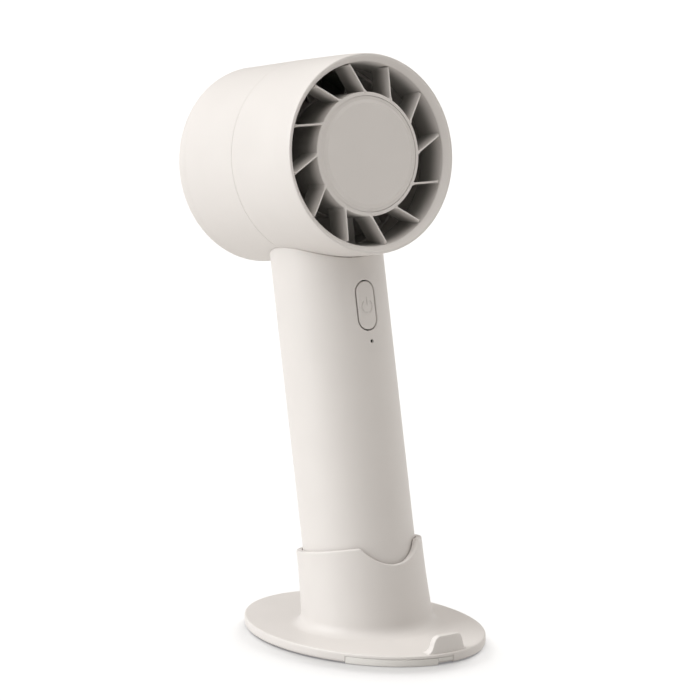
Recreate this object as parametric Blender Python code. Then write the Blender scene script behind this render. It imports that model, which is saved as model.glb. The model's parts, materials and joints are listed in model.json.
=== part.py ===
"""Handheld turbo fan standing in a leaning desk stand.

Metres, +Z up. The fan blows towards -Y and the whole thing stands on z = 0.
Lengths below are in millimetres and are turned into metres in add().
The handle leans back by TILT, so most fan pieces are drawn upright in the
handle's own frame (x right, y back, z along the handle) and parented to FAN.
Round pieces of the head are drawn about its blowing axis and parented to HEAD.
"""

import math

import bmesh
import bpy
from mathutils import Matrix, Vector

for old in list(bpy.data.objects):
    bpy.data.objects.remove(old, do_unlink=True)

MM = 0.001
GAP = 0.3

# ---- stand ----
PLATE_A = 36.0  # half width of the oval plate
PLATE_B = 51.2  # half depth
PLATE_LOW = 0.35
PLATE_EDGE = 3.8  # top of the plate at its rim
PLATE_TOP = 4.6  # top of the plate where the collar rises
COLLAR_RIM_R = 21.9
COLLAR_FOOT_R = 22.7
COLLAR_BORE_R = 20.15
COLLAR_RIM_S = 32.25  # along the handle axis, from the ground
SCOOP_LOW_S = 25.15
SCOOP_R = 14.2
SCOOP_BLEND = 1.2  # rounds the corners where the scoop meets the level rim
COVE = 4.5
CUP_FLOOR_S = 8.3
RECESS_A, RECESS_B, RECESS_TOP = 31.5, 46.7, 3.2
TAB_X, TAB_INSET, TAB_T, TAB_TOP, TAB_LOW = -0.9, 0.7, 2.3, 10.0, 2.9  # the phone stop

GRIP_FROM, GRIP_STEP, GRIP_TO = -0.96, -0.16, 0.005  # turn round the plate, from the front
GRIP_DEPTH, GRIP_TOP, GRIP_CLEAR = 3.1, 2.65, 0.1

# ---- handle ----
TILT = math.radians(10.0)
AXIS_Y = -3.0  # the handle axis meets the ground here
HANDLE_R, HANDLE_BORE_R = 19.55, 17.75
HANDLE_LOW_S = 11.2
BUTTON_S, BUTTON_HALF, BUTTON_R = 114.75, 4.55, 3.75
BUTTON_CLEAR = 0.5
LED_S = 102.3
BUTTON_TURN, LED_TURN = math.radians(2.2), math.radians(3.7)  # round the handle, off the middle
CELL_R, CELL_S, CELL_LEN, CELL_Y = 10.6, 20.0, 70.0, 4.5
BOARD_Y, BOARD_T, BOARD_HALF = -11.0, 1.6, 12.5
USB_S = 104.3

# ---- head ----
HEAD_S = 166.4  # along the handle axis
DRUM_R, DRUM_BORE_R = 34.6, 32.8
FRONT_A, SEAM_A, CAP_A, REAR_A = -33.3, 1.0, 30.6, 36.5
REAR_R, REAR_BORE_R, REAR_ROUND = 34.2, 32.2, 3.3  # the drum narrows behind the seam
SCREW_RING_R, SCREEN_R = 27.6, 25.8
VANES = 12
VANE_FRONT_A, VANE_BACK_A = -31.3, -21.8
THROAT_R, HUB_R, HUB_BORE_R = 31.5, 21.25, 19.9
VANE_ROOT, VANE_TIP = math.radians(4.1), math.radians(-6.9)
BLADES = 9
BLADE_TIP_R = 30.6

ROLL = Matrix(((1, 0, 0, 0), (0, 0, 1, 0), (0, -1, 0, 0), (0, 0, 0, 1)))
LEAN = Matrix.Translation((0, AXIS_Y, 0)) @ Matrix.Rotation(-TILT, 4, "X")


def frame(name, matrix, parent=None):
    """An empty that pieces are parented to. matrix is in millimetres, in its parent's frame."""
    empty = bpy.data.objects.new(name, None)
    empty.empty_display_size = 0.02
    bpy.context.scene.collection.objects.link(empty)
    empty.parent = parent
    placed = matrix.copy()
    placed.translation = placed.translation * MM
    empty.matrix_basis = placed
    return empty


WORLD = None
FAN = frame("fan_axes", LEAN)  # x right, y back, z up along the handle
FACE = frame("face_axes", ROLL, FAN)  # drawing plane is the handle's front: x right, y down, z back
HEAD = frame("head_axes", Matrix.Translation((0, 0, HEAD_S)) @ ROLL, FAN)  # z back along the blowing axis
ROTOR = frame("rotor_axes", Matrix.Identity(4), HEAD)  # turns about its own z
BUTTON_FACE = frame("button_face_axes", Matrix.Rotation(BUTTON_TURN, 4, "Z") @ ROLL, FAN)
LED_FACE = frame("lamp_face_axes", Matrix.Rotation(LED_TURN, 4, "Z") @ ROLL, FAN)
BUTTON = frame("button_axes", Matrix.Translation((0, -BUTTON_S, 0)), BUTTON_FACE)  # slides along its own z

WHITE = (0.83, 0.82, 0.80)
DARK = (0.035, 0.035, 0.038)
STEEL = (0.55, 0.56, 0.58)
COPPER = (0.72, 0.36, 0.18)


# ---------------------------------------------------------------- helpers


def add(name, verts, faces, frame=WORLD, colour=WHITE, rough=0.45, metal=0.0):
    mesh = bpy.data.meshes.new(name)
    mesh.from_pydata([Vector(v) * MM for v in verts], [], faces)
    bm = bmesh.new()
    bm.from_mesh(mesh)
    bmesh.ops.recalc_face_normals(bm, faces=bm.faces)
    bm.to_mesh(mesh)
    bm.free()
    mesh.shade_smooth()
    mesh.set_sharp_from_angle(angle=math.radians(38))
    obj = bpy.data.objects.new(name, mesh)
    bpy.context.scene.collection.objects.link(obj)
    obj.parent = frame
    mat = bpy.data.materials.new(name)
    mat.use_nodes = True
    shader = mat.node_tree.nodes["Principled BSDF"]
    shader.inputs["Base Color"].default_value = (*colour, 1.0)
    shader.inputs["Roughness"].default_value = rough
    shader.inputs["Metallic"].default_value = metal
    mesh.materials.append(mat)
    return obj


def helper(obj):
    obj.hide_render = True
    obj.display_type = "WIRE"
    return obj


def boolean(obj, other, operation):
    helper(other)
    mod = obj.modifiers.new(other.name, "BOOLEAN")
    mod.operation = operation
    mod.solver = "EXACT"
    mod.object = other


def skin(rings, closed=False):
    """Verts and faces through rings of equal length. A ring of one point is a pole."""
    verts, starts, faces = [], [], []
    for ring in rings:
        starts.append(len(verts))
        verts.extend(ring)
    order = list(range(len(rings))) + ([0] if closed else [])
    for i, j in zip(order, order[1:]):
        a, b = rings[i], rings[j]
        n = max(len(a), len(b))
        for k in range(n):
            m = (k + 1) % n
            if len(a) == 1:
                faces.append((starts[i], starts[j] + k, starts[j] + m))
            elif len(b) == 1:
                faces.append((starts[i] + k, starts[j], starts[i] + m))
            else:
                faces.append((starts[i] + k, starts[j] + k, starts[j] + m, starts[i] + m))
    return verts, faces


def circle(r, a, n, x=0.0, y=0.0):
    """n points round the axis, starting at -y and turning towards +x."""
    if r == 0:
        return [(x, y, a)]
    turn = [2 * math.pi * k / n for k in range(n)]
    return [(x + r * math.sin(t), y - r * math.cos(t), a) for t in turn]


def revolve(name, profile, n, frame, closed=False, x=0.0, y=0.0, **look):
    rings = [circle(r, a, n, x, y) for r, a in profile]
    return add(name, *skin(rings, closed), frame=frame, **look)


def prism(name, outline, low, high, frame=WORLD, **look):
    bottom = [(x, y, low) for x, y in outline]
    top = [(x, y, high) for x, y in outline]
    n = len(outline)
    faces = [(k, (k + 1) % n, n + (k + 1) % n, n + k) for k in range(n)]
    faces += [tuple(range(n)), tuple(range(n, 2 * n))]
    return add(name, bottom + top, faces, frame=frame, **look)


def box(name, x, y, z, frame=WORLD, **look):
    return prism(name, [(x[0], y[0]), (x[1], y[0]), (x[1], y[1]), (x[0], y[1])], z[0], z[1], frame, **look)


def pill(half, r, steps, cx=0.0, cy=0.0, upright=True):
    """Outline of a rounded slot: straight part 2 * half long, ends of radius r."""
    points = []
    for end in (1, -1):
        for k in range(steps + 1):
            t = math.pi * k / steps
            u, v = r * math.cos(t) * end, (half + r * math.sin(t)) * end
            points.append((cx + u, cy + v) if upright else (cx + v, cy - u))
    return points


def tube(name, path, r, n, frame, **look):
    """A round wire along a path of points."""
    points = [Vector(p) for p in path]
    rings, side = [], Vector((1, 0, 0))
    for i, p in enumerate(points):
        along = (points[min(i + 1, len(points) - 1)] - points[max(i - 1, 0)]).normalized()
        side = (side - along * side.dot(along)).normalized()
        up = along.cross(side)
        turn = [2 * math.pi * k / n for k in range(n)]
        rings.append([tuple(p + side * (r * math.cos(t)) + up * (r * math.sin(t))) for t in turn])
    rings = [[tuple(points[0])]] + rings + [[tuple(points[-1])]]
    return add(name, *skin(rings), frame=frame, **look)


# ---------------------------------------------------------------- stand


def oval(a, b, z, n):
    turn = [2 * math.pi * k / n for k in range(n)]
    return [(a * math.sin(t), -b * math.cos(t), z) for t in turn]


def scoop(u):
    """Height of the collar's rim at the sideways distance u, with the thumb scoop blended in."""
    low = COLLAR_RIM_S + SCOOP_BLEND
    if abs(u) < SCOOP_R:
        low = SCOOP_LOW_S + SCOOP_R - math.sqrt(SCOOP_R**2 - u * u)
    h = max(SCOOP_BLEND - abs(low - COLLAR_RIM_S), 0) / SCOOP_BLEND
    return min(low, COLLAR_RIM_S) - h * h * SCOOP_BLEND / 4


def stand_shell():
    n = 56
    turn = [2 * math.pi * k / n for k in range(n)]

    def leaning(r, s):
        return LEAN @ Vector((r[0], r[1], s))

    def wall(radius, s_of):
        ring = []
        for t in turn:
            ring.append(tuple(leaning((radius * math.sin(t), -radius * math.cos(t)), s_of(t))))
        return ring

    def on_level(radius, t, z):
        """s of the leaning wall where it reaches the height z."""
        return (z - radius * math.cos(t) * math.sin(TILT)) / math.cos(TILT)

    foot = [leaning((COLLAR_FOOT_R * math.sin(t), -COLLAR_FOOT_R * math.cos(t)),
        on_level(COLLAR_FOOT_R, t, PLATE_TOP)) for t in turn]
    start = [b + Vector((math.sin(t), -math.cos(t), -0.03)) * COVE for b, t in zip(foot, turn)]
    rise = Vector((0, math.sin(TILT), math.cos(TILT))) * COVE
    edge = [Vector(p) for p in oval(PLATE_A - 0.9, PLATE_B - 0.9, PLATE_EDGE + 0.05, n)]

    rings = [
        [(0, 0, RECESS_TOP)],
        oval(RECESS_A, RECESS_B, RECESS_TOP, n),
        oval(RECESS_A, RECESS_B, PLATE_LOW, n),
        oval(PLATE_A - 1.1, PLATE_B - 1.1, PLATE_LOW, n),
        oval(PLATE_A - 0.5, PLATE_B - 0.5, PLATE_LOW + 0.15, n),
        oval(PLATE_A - 0.15, PLATE_B - 0.15, PLATE_LOW + 0.5, n),
        oval(PLATE_A, PLATE_B, PLATE_LOW + 1.1, n),
        oval(PLATE_A, PLATE_B, PLATE_EDGE - 0.7, n),
        oval(PLATE_A - 0.25, PLATE_B - 0.25, PLATE_EDGE - 0.2, n),
        [tuple(p) for p in edge],
        [tuple(e.lerp(p, 0.5)) for e, p in zip(edge, start)],
    ]
    for k in range(5):
        w = k / 4
        rings.append([tuple(p.lerp(b, w).lerp(b.lerp(b + rise, w), w)) for p, b in zip(start, foot)])

    def top(t):
        return scoop(COLLAR_RIM_R * math.sin(t)) if math.cos(t) > 0 else COLLAR_RIM_S

    rings += [
        wall(COLLAR_RIM_R + 0.25, lambda t: top(t) * 0.5 + 6.0),
        wall(COLLAR_RIM_R, lambda t: top(t) - 1.2),
        wall(COLLAR_RIM_R - 0.3, lambda t: top(t) - 0.45),
        wall(COLLAR_RIM_R - 0.9, lambda t: top(t)),
        wall(COLLAR_BORE_R + 0.35, lambda t: top(t) - 0.1),
        wall(COLLAR_BORE_R, lambda t: top(t) - 0.5),
        wall(COLLAR_BORE_R, lambda t: CUP_FLOOR_S),
        [tuple(leaning((0, 0), CUP_FLOOR_S))],
    ]
    shell = add("stand_shell", *skin(rings), colour=WHITE, rough=0.42)

    # the wedge-shaped pocket under the cup, and the phone stop at the front edge
    pocket = add(
        "cut_pocket",
        *skin([[(0, 0, 0.5)], circle(17.8, 0.5, 28), [(p[0], p[1], under(p[1])) for p in circle(17.8, 0,
            28)], [(0, 0, under(0))]]),
    )
    boolean(shell, pocket, "DIFFERENCE")
    notch = grip_outline(GRIP_FROM - 0.003, GRIP_TO + 0.003, 14, -1.0, GRIP_DEPTH + GRIP_CLEAR)
    boolean(shell, prism("cut_grip", notch, -1.0, GRIP_TOP + GRIP_CLEAR), "DIFFERENCE")
    half = [(-8.3, 3.1), (-8.2, 3.7), (-7.4, 4.2), (-6.7, 5.0), (-6.2, 6.2), (-5.7, 8.0), (-5.2, 9.0),
        (-4.5, 9.7)]
    half.append((-3.6, TAB_TOP))
    spine = half + [(0.0, TAB_TOP + 0.1)] + [(-x, z) for x, z in reversed(half)]
    columns = []
    for across, z in spine:
        x = TAB_X + across
        out, back = edge_y(x, TAB_INSET), edge_y(x, TAB_INSET + TAB_T)
        front = [(x, out, TAB_LOW), (x, out, z - 0.3), (x, out + 0.3, z)]
        columns.append(front + [(x, back - 0.3, z), (x, back, z - 0.3), (x, back, TAB_LOW)])
    ends = [[tuple(sum(c) / 6 for c in zip(*col))] for col in (columns[0], columns[-1])]
    tab = add("join_tab", *skin([ends[0]] + columns + [ends[1]]))
    boolean(shell, tab, "UNION")
    return shell


def edge_y(x, inset):
    """Front edge of the plate at x, moved inwards by inset."""
    return -(PLATE_B - inset) * math.sqrt(1 - (x / (PLATE_A - inset)) ** 2)


def grip_outline(start, end, steps, outer, inner):
    """A band along the plate's rim between two turns, from one inset to another."""
    points = []
    for inset, order in ((outer, range(steps + 1)), (inner, range(steps, -1, -1))):
        for k in order:
            t = start + (end - start) * k / steps
            points.append(((PLATE_A - inset) * math.sin(t), -(PLATE_B - inset) * math.cos(t)))
    return points


def under(y, lift=1.6):
    """Underside of the cup floor at depth y, as a height."""
    s = CUP_FLOOR_S - lift
    return (s - (y - AXIS_Y) * math.sin(TILT)) / math.cos(TILT)


def stand():
    stand_shell()
    prism("base_pad", [p[:2] for p in oval(RECESS_A - GAP, RECESS_B - GAP, 0, 44)], 0.0, 1.4,
        colour=(0.62, 0.61, 0.58), rough=0.8)
    prism(
        "ballast_plate",
        [p[:2] for p in oval(RECESS_A - GAP, RECESS_B - GAP, 0, 36)],
        1.7,
        2.9,
        colour=STEEL,
        rough=0.35,
        metal=1.0,
    )
    ring = circle(17.5, 0, 28)
    add(
        "ballast_wedge",
        *skin([[(0, 0, 3.2)], circle(17.5, 3.2, 28), [(p[0], p[1], under(p[1]) - GAP) for p in ring],
            [(0, 0, under(0) - GAP)]]),
        colour=STEEL,
        rough=0.4,
        metal=1.0,
    )
    revolve("cup_pad", [(0, 8.6), (19.0, 8.6), (19.0, 9.1), (0, 9.1)], 32, FAN, colour=(0.2, 0.2, 0.2),
        rough=0.9)
    # grip strip let into the front rim, left of the middle; its last stretch is thinner
    look = {"colour": (0.8, 0.79, 0.75), "rough": 0.6}
    thick = grip_outline(GRIP_FROM, GRIP_STEP - 0.001, 16, GRIP_CLEAR, GRIP_DEPTH)
    prism("grip_strip", thick, 0.05, GRIP_TOP, **look)
    thin = grip_outline(GRIP_STEP + 0.001, GRIP_TO, 4, GRIP_CLEAR, GRIP_DEPTH)
    prism("grip_strip_end", thin, 1.2, GRIP_TOP, **look)


# ---------------------------------------------------------------- handle


def saddle(r, t, clear):
    return HEAD_S - math.sqrt((DRUM_R + clear) ** 2 - (r * math.sin(t)) ** 2)


def handle():
    n = 40
    turn = [2 * math.pi * k / n for k in range(n)]

    def ring(r, clear):
        return [(r * math.sin(t), -r * math.cos(t), saddle(r, t, clear)) for t in turn]

    rings = [
        circle(HANDLE_R, HANDLE_LOW_S, n),
        ring(HANDLE_R, 0.6),
        ring(HANDLE_R - 0.35, 0.2),
        ring(HANDLE_BORE_R, 0.2),
        circle(HANDLE_BORE_R, HANDLE_LOW_S, n),
    ]
    shell = add("handle_shell", *skin(rings, closed=True), frame=FAN, rough=0.42)
    hole = pill(BUTTON_HALF, BUTTON_R + BUTTON_CLEAR, 8, cy=-BUTTON_S)
    boolean(shell, prism("cut_button", hole, -24, -12, BUTTON_FACE), "DIFFERENCE")
    boolean(shell, revolve("cut_led", [(0, -24), (0.7, -24), (0.7, -12), (0, -12)], 12, LED_FACE, y=-LED_S),
        "DIFFERENCE")
    port = pill(2.9, 1.9, 6, cy=-USB_S, upright=False)
    boolean(shell, prism("cut_port", port, 12, 24, FACE), "DIFFERENCE")

    # bottom cap, pressed into the tube
    cap = [(0, 9.4), (18.4, 9.4), (19.2, 9.7), (19.5, 10.4), (19.5, 10.9), (17.45, 10.9), (17.45, 14.0),
        (15.9, 14.0), (15.9, 11.0), (0, 11.0)]
    revolve("handle_end_cap", cap, 28, FAN)

    # button, cut to the handle's roundness
    button = prism("power_button", pill(BUTTON_HALF, BUTTON_R, 8), -24, -15.2, BUTTON, rough=0.4)
    boolean(button, revolve("keep_button", [(0, 95), (HANDLE_R - 0.05, 95), (HANDLE_R - 0.05, 130),
        (0, 130)], 80, FAN), "INTERSECT")
    revolve("switch_plunger", [(0, -14.9), (1.6, -14.9), (1.6, -14.1), (0, -14.1)], 12, BUTTON, colour=DARK)
    tact = [(x, -BUTTON_S + y) for x, y in ((-2.5, -3), (3.5, -3), (3.5, 3), (-2.5, 3))]
    prism("tact_switch", tact, -13.5, -11.3, FACE, colour=STEEL, rough=0.4, metal=0.8)
    lens = [(0, -18.9), (0.4, -18.9), (0.4, -17.2), (1.4, -17.2), (1.4, -12.4), (0, -12.4)]
    revolve("led_light_pipe", lens, 12, LED_FACE, y=-LED_S, colour=(0.05, 0.05, 0.05), rough=0.2)
    box("status_led", (0.0, 1.6), (-LED_S - 0.5, -LED_S + 0.5), (-12.1, -11.3), FACE,
        colour=(0.8, 0.85, 0.9), rough=0.2)


def electronics():
    cell = [(0, CELL_S), (CELL_R - 0.4, CELL_S), (CELL_R, CELL_S + 0.4)]
    cell += [(CELL_R, CELL_S + CELL_LEN - 0.4), (CELL_R - 0.4, CELL_S + CELL_LEN), (0, CELL_S + CELL_LEN)]
    revolve("battery_cell", cell, 24, FAN, y=CELL_Y, colour=(0.05, 0.25, 0.6), rough=0.35)
    for name, s in (("cell_tab_low", CELL_S - 0.6), ("cell_tab_high", CELL_S + CELL_LEN + 0.3)):
        box(name, (-3, 3), (-2, 8), (s, s + 0.3), FAN, colour=STEEL, rough=0.3, metal=1.0)

    # cradle: an open trough round the cell's back, with a bar at each end that carries the board
    arc = [math.radians(105 + 150 * k / 10) for k in range(11)]
    outer = [(12.4 * math.sin(t), CELL_Y - 12.4 * math.cos(t)) for t in arc]
    inner = [(11.0 * math.sin(t), CELL_Y - 11.0 * math.cos(t)) for t in arc]
    cradle = prism("cell_cradle", outer + inner[::-1], 14.5, 97.8, FAN, colour=(0.75, 0.74, 0.7), rough=0.6)
    for name, s in (("join_bar_low", 14.8), ("join_bar_high", 93.2)):
        boolean(cradle, box(name, (-4, 4), (-9.1, 16.4), (s, s + 4.2), FAN), "UNION")
    board = box("circuit_board", (-BOARD_HALF, BOARD_HALF), (BOARD_Y, BOARD_Y + BOARD_T), (15.0, 127.0),
        FAN, colour=(0.02, 0.22, 0.1), rough=0.4)
    for name, s in (("low", 16.9), ("high", 95.3)):
        hole = revolve("cut_board_" + name, [(0, -14), (1.4, -14), (1.4, -6), (0, -6)], 12, FACE, y=-s)
        boolean(board, hole, "DIFFERENCE")
        boolean(cradle, revolve("cut_bar_" + name, [(0, -11), (1.4, -11), (1.4, -3.6), (0, -3.6)], 12, FACE,
            y=-s), "DIFFERENCE")
        screw = [(0, -12.4), (1.7, -12.4), (2.1, -12.0), (2.1, -11.3), (1.1, -11.3), (1.1, -4.4), (0, -4.0)]
        revolve("board_screw_" + name, screw, 10, FACE, y=-s, colour=STEEL, rough=0.3, metal=1.0)
    box("controller_chip", (-2.5, 2.5), (-9.1, -8.1), (118.0, 123.0), FAN, colour=DARK, rough=0.5)
    box("boost_inductor", (-9.5, -3.5), (-9.1, -5.6), (108.5, 114.5), FAN, colour=(0.12, 0.12, 0.13),
        rough=0.6)

    # charging socket on its own small board, facing backwards
    box("charge_board", (-7, 7), (-9.1, 15.4), (USB_S - 3.1, USB_S - 1.9), FAN, colour=(0.02, 0.22, 0.1),
        rough=0.4)

    def mouth(dx, y):
        return [(px, py, y) for px, py in pill(2.9, 1.6 - dx, 6, cy=-USB_S, upright=False)]

    rings = [[(0, -USB_S, 9.7)], mouth(0, 9.7), mouth(0, 17.0), mouth(0.3, 17.0), mouth(0.3, 10.4),
        [(0, -USB_S, 10.4)]]
    add("usb_socket", *skin(rings), frame=FACE, colour=STEEL, rough=0.25, metal=1.0)

    # the two motor leads climb from the board into the hub
    for name, x, colour in (("motor_lead_red", 1.6, (0.6, 0.03, 0.03)), ("motor_lead_black", -1.6, DARK)):
        path = [(x, -10.2, 127.6), (x, -10.9, 130.0), (x, -12.0, 133.0), (x, -12.6, 138.0),
            (x, -12.8, 144.0)]
        path += [(x, -13.2, 146.6), (x, -14.6, 148.0), (x, -17.0, 148.4), (x, -20.0, 148.4),
            (x, -22.6, 149.6)]
        tube(name, path, 0.7, 6, FAN, colour=colour, rough=0.5)


# ---------------------------------------------------------------- head


def drum():
    n = 56
    front = [
        (DRUM_R, SEAM_A - 0.1),
        (DRUM_R, FRONT_A + 8.0),
        (DRUM_R - 0.25, FRONT_A + 1.8),
        (DRUM_R - 0.45, FRONT_A + 0.4),
        (DRUM_R - 0.75, FRONT_A),
        (DRUM_R - 1.15, FRONT_A + 0.05),
        (THROAT_R + 0.5, VANE_FRONT_A - 0.4),
        (THROAT_R, VANE_FRONT_A + 0.2),
        (THROAT_R, -30.2),
        (DRUM_BORE_R, -30.2),
        (DRUM_BORE_R, SEAM_A - 0.1),
    ]
    shell = revolve("front_shell", front, n, HEAD, closed=True, rough=0.42)
    neck = revolve("cut_neck", [(0, 124), (4.6, 124), (4.6, 142), (0, 142)], 20, FAN, y=-12.0)
    boolean(shell, neck, "DIFFERENCE")

    rear = [(REAR_R, CAP_A - 0.1), (DRUM_R, SEAM_A + 0.1), (DRUM_BORE_R, SEAM_A + 0.1), (DRUM_BORE_R, 13.0)]
    rear.append((REAR_BORE_R, CAP_A - 0.1))
    body = revolve("rear_shell", rear, n, HEAD, closed=True, rough=0.42)
    cover_profile = [(0, REAR_A), (REAR_R - REAR_ROUND, REAR_A)]
    for k in range(1, 4):
        t = math.pi / 2 * k / 3
        cover_profile.append((REAR_R - REAR_ROUND * (1 - math.sin(t)),
            REAR_A - REAR_ROUND * (1 - math.cos(t))))
    cover_profile += [(REAR_R, CAP_A + 0.1), (REAR_BORE_R, CAP_A + 0.1), (REAR_BORE_R, 33.0),
        (REAR_BORE_R - 0.6, 33.6)]
    cover_profile.append((0, 33.6))
    cover = revolve("rear_cover", cover_profile, n, HEAD, rough=0.42)

    verts, faces = [], []
    for k in range(16):
        turn = Matrix.Rotation(2 * math.pi * k / 16 + math.radians(10), 3, "Z")
        outline = [turn @ Vector((x, y, 0)) for x, y in pill(6.0, 1.5, 2, cy=16.8)]
        base, m = len(verts), len(outline)
        verts += [(p.x, p.y, 31) for p in outline] + [(p.x, p.y, 39) for p in outline]
        faces += [(base + i, base + (i + 1) % m, base + m + (i + 1) % m, base + m + i) for i in range(m)]
        faces += [tuple(range(base, base + m)), tuple(range(base + m, base + 2 * m))]
    boolean(cover, add("cut_intake", verts, faces, frame=HEAD), "DIFFERENCE")

    # three bosses in the rear shell take the cover's screws
    for k, name in enumerate(("top", "right", "left")):
        t = math.radians(120 * k)
        x, y = SCREW_RING_R * math.sin(t), -SCREW_RING_R * math.cos(t)
        boss = revolve("join_boss_" + name, [(0, 18), (1.0, 17.0), (3.1, 20.5), (3.1, 30.4), (0, 30.4)], 20,
            HEAD, x=x, y=y)
        boolean(body, boss, "UNION")
        turn = Matrix.Rotation(t, 3, "Z")
        corners = [turn @ Vector((u, -v, 0)) for u, v in ((-1.3, 29.0), (1.3, 29.0), (1.3, 33.0),
            (-1.3, 33.0))]
        boolean(body, prism("join_rib_" + name, [(c.x, c.y) for c in corners], 20.5, 30.1, HEAD), "UNION")
        boolean(body, revolve("cut_boss_" + name, [(0, 21), (1.4, 21), (1.4, 31), (0, 31)], 12, HEAD, x=x,
            y=y), "DIFFERENCE")
        boolean(cover, revolve("cut_screw_" + name, [(0, 28), (1.4, 28), (1.4, 35.1), (2.4, 35.1),
            (2.4, 39), (0, 39)], 16, HEAD, x=x, y=y), "DIFFERENCE")
        screw = [(0, 22), (0.8, 22), (1.1, 22.6), (1.1, 35.4), (2.1, 35.4), (2.1, 36.2), (0, 36.2)]
        revolve("cover_screw_" + name, screw, 10, HEAD, x=x, y=y, colour=STEEL, rough=0.3, metal=1.0)
    revolve("dust_screen", [(0, 32.5), (SCREEN_R, 32.5), (SCREEN_R, 33.3), (0, 33.3)], 32, HEAD,
        colour=DARK, rough=0.9)


def grille():
    n = 48
    ring = [(32.5, -29.9), (31.25, -29.9), (30.0, VANE_BACK_A + 1.8), (31.4, VANE_BACK_A + 1.8),
        (32.5, VANE_BACK_A + 1.2)]
    rings = [circle(r, a, n) for r, a in ring]
    hub = [
        (HUB_R, VANE_FRONT_A + 0.3),
        (HUB_R - 0.3, VANE_FRONT_A),
        (HUB_BORE_R + 0.1, VANE_FRONT_A),
        (HUB_BORE_R, VANE_FRONT_A + 0.1),
        (HUB_BORE_R, -29.2),
        (4.0, -29.2),
        (4.0, -27.8),
        (HUB_BORE_R, -27.8),
        (HUB_BORE_R, -14.4),
        (HUB_R - 0.2, -14.0),
    ]
    verts, faces = skin(rings, closed=True)
    more, hub_faces = skin([circle(r, a, n) for r, a in hub], closed=True)
    faces += [tuple(i + len(verts) for i in face) for face in hub_faces]
    obj = add("front_grille", verts + more, faces, frame=HEAD, rough=0.42)

    # vanes: straight across the throat, leaning from the radius, square to the hub's axis
    verts, faces = [], []
    for k in range(VANES):
        a, b = 2 * math.pi * k / VANES + VANE_ROOT, 2 * math.pi * k / VANES + VANE_TIP
        root = Vector((HUB_R * math.sin(a), -HUB_R * math.cos(a), 0))
        tip = Vector((THROAT_R * math.sin(b), -THROAT_R * math.cos(b), 0))
        along = (tip - root).normalized()
        side = Vector((-along.y, along.x, 0)) * 0.45
        reach = (tip - root).length
        outline = [(-0.9, VANE_FRONT_A), (reach - 0.4, VANE_FRONT_A), (reach - 0.4, -29.3),
            (reach - 0.1, -29.3)]
        outline += [(reach - 0.5, VANE_BACK_A + 0.9), (reach - 1.4, VANE_BACK_A), (-0.9, VANE_BACK_A)]
        base, m = len(verts), len(outline)
        for sign in (1, -1):
            verts += [tuple(root + along * u + side * sign + Vector((0, 0, z))) for u, z in outline]
        faces += [(base + i, base + (i + 1) % m, base + m + (i + 1) % m, base + m + i) for i in range(m)]
        faces += [tuple(range(base, base + m)), tuple(range(base + m, base + 2 * m))]
    boolean(obj, add("join_vanes", verts, faces, frame=HEAD), "UNION")

    cap = [(0, -32.15), (17.9, -32.1), (18.4, -32.0), (19.3, -31.5), (HUB_BORE_R - GAP, -31.2),
        (HUB_BORE_R - GAP, -29.6), (0, -29.6)]
    revolve("hub_cap", cap, 40, HEAD, rough=0.42)


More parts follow.
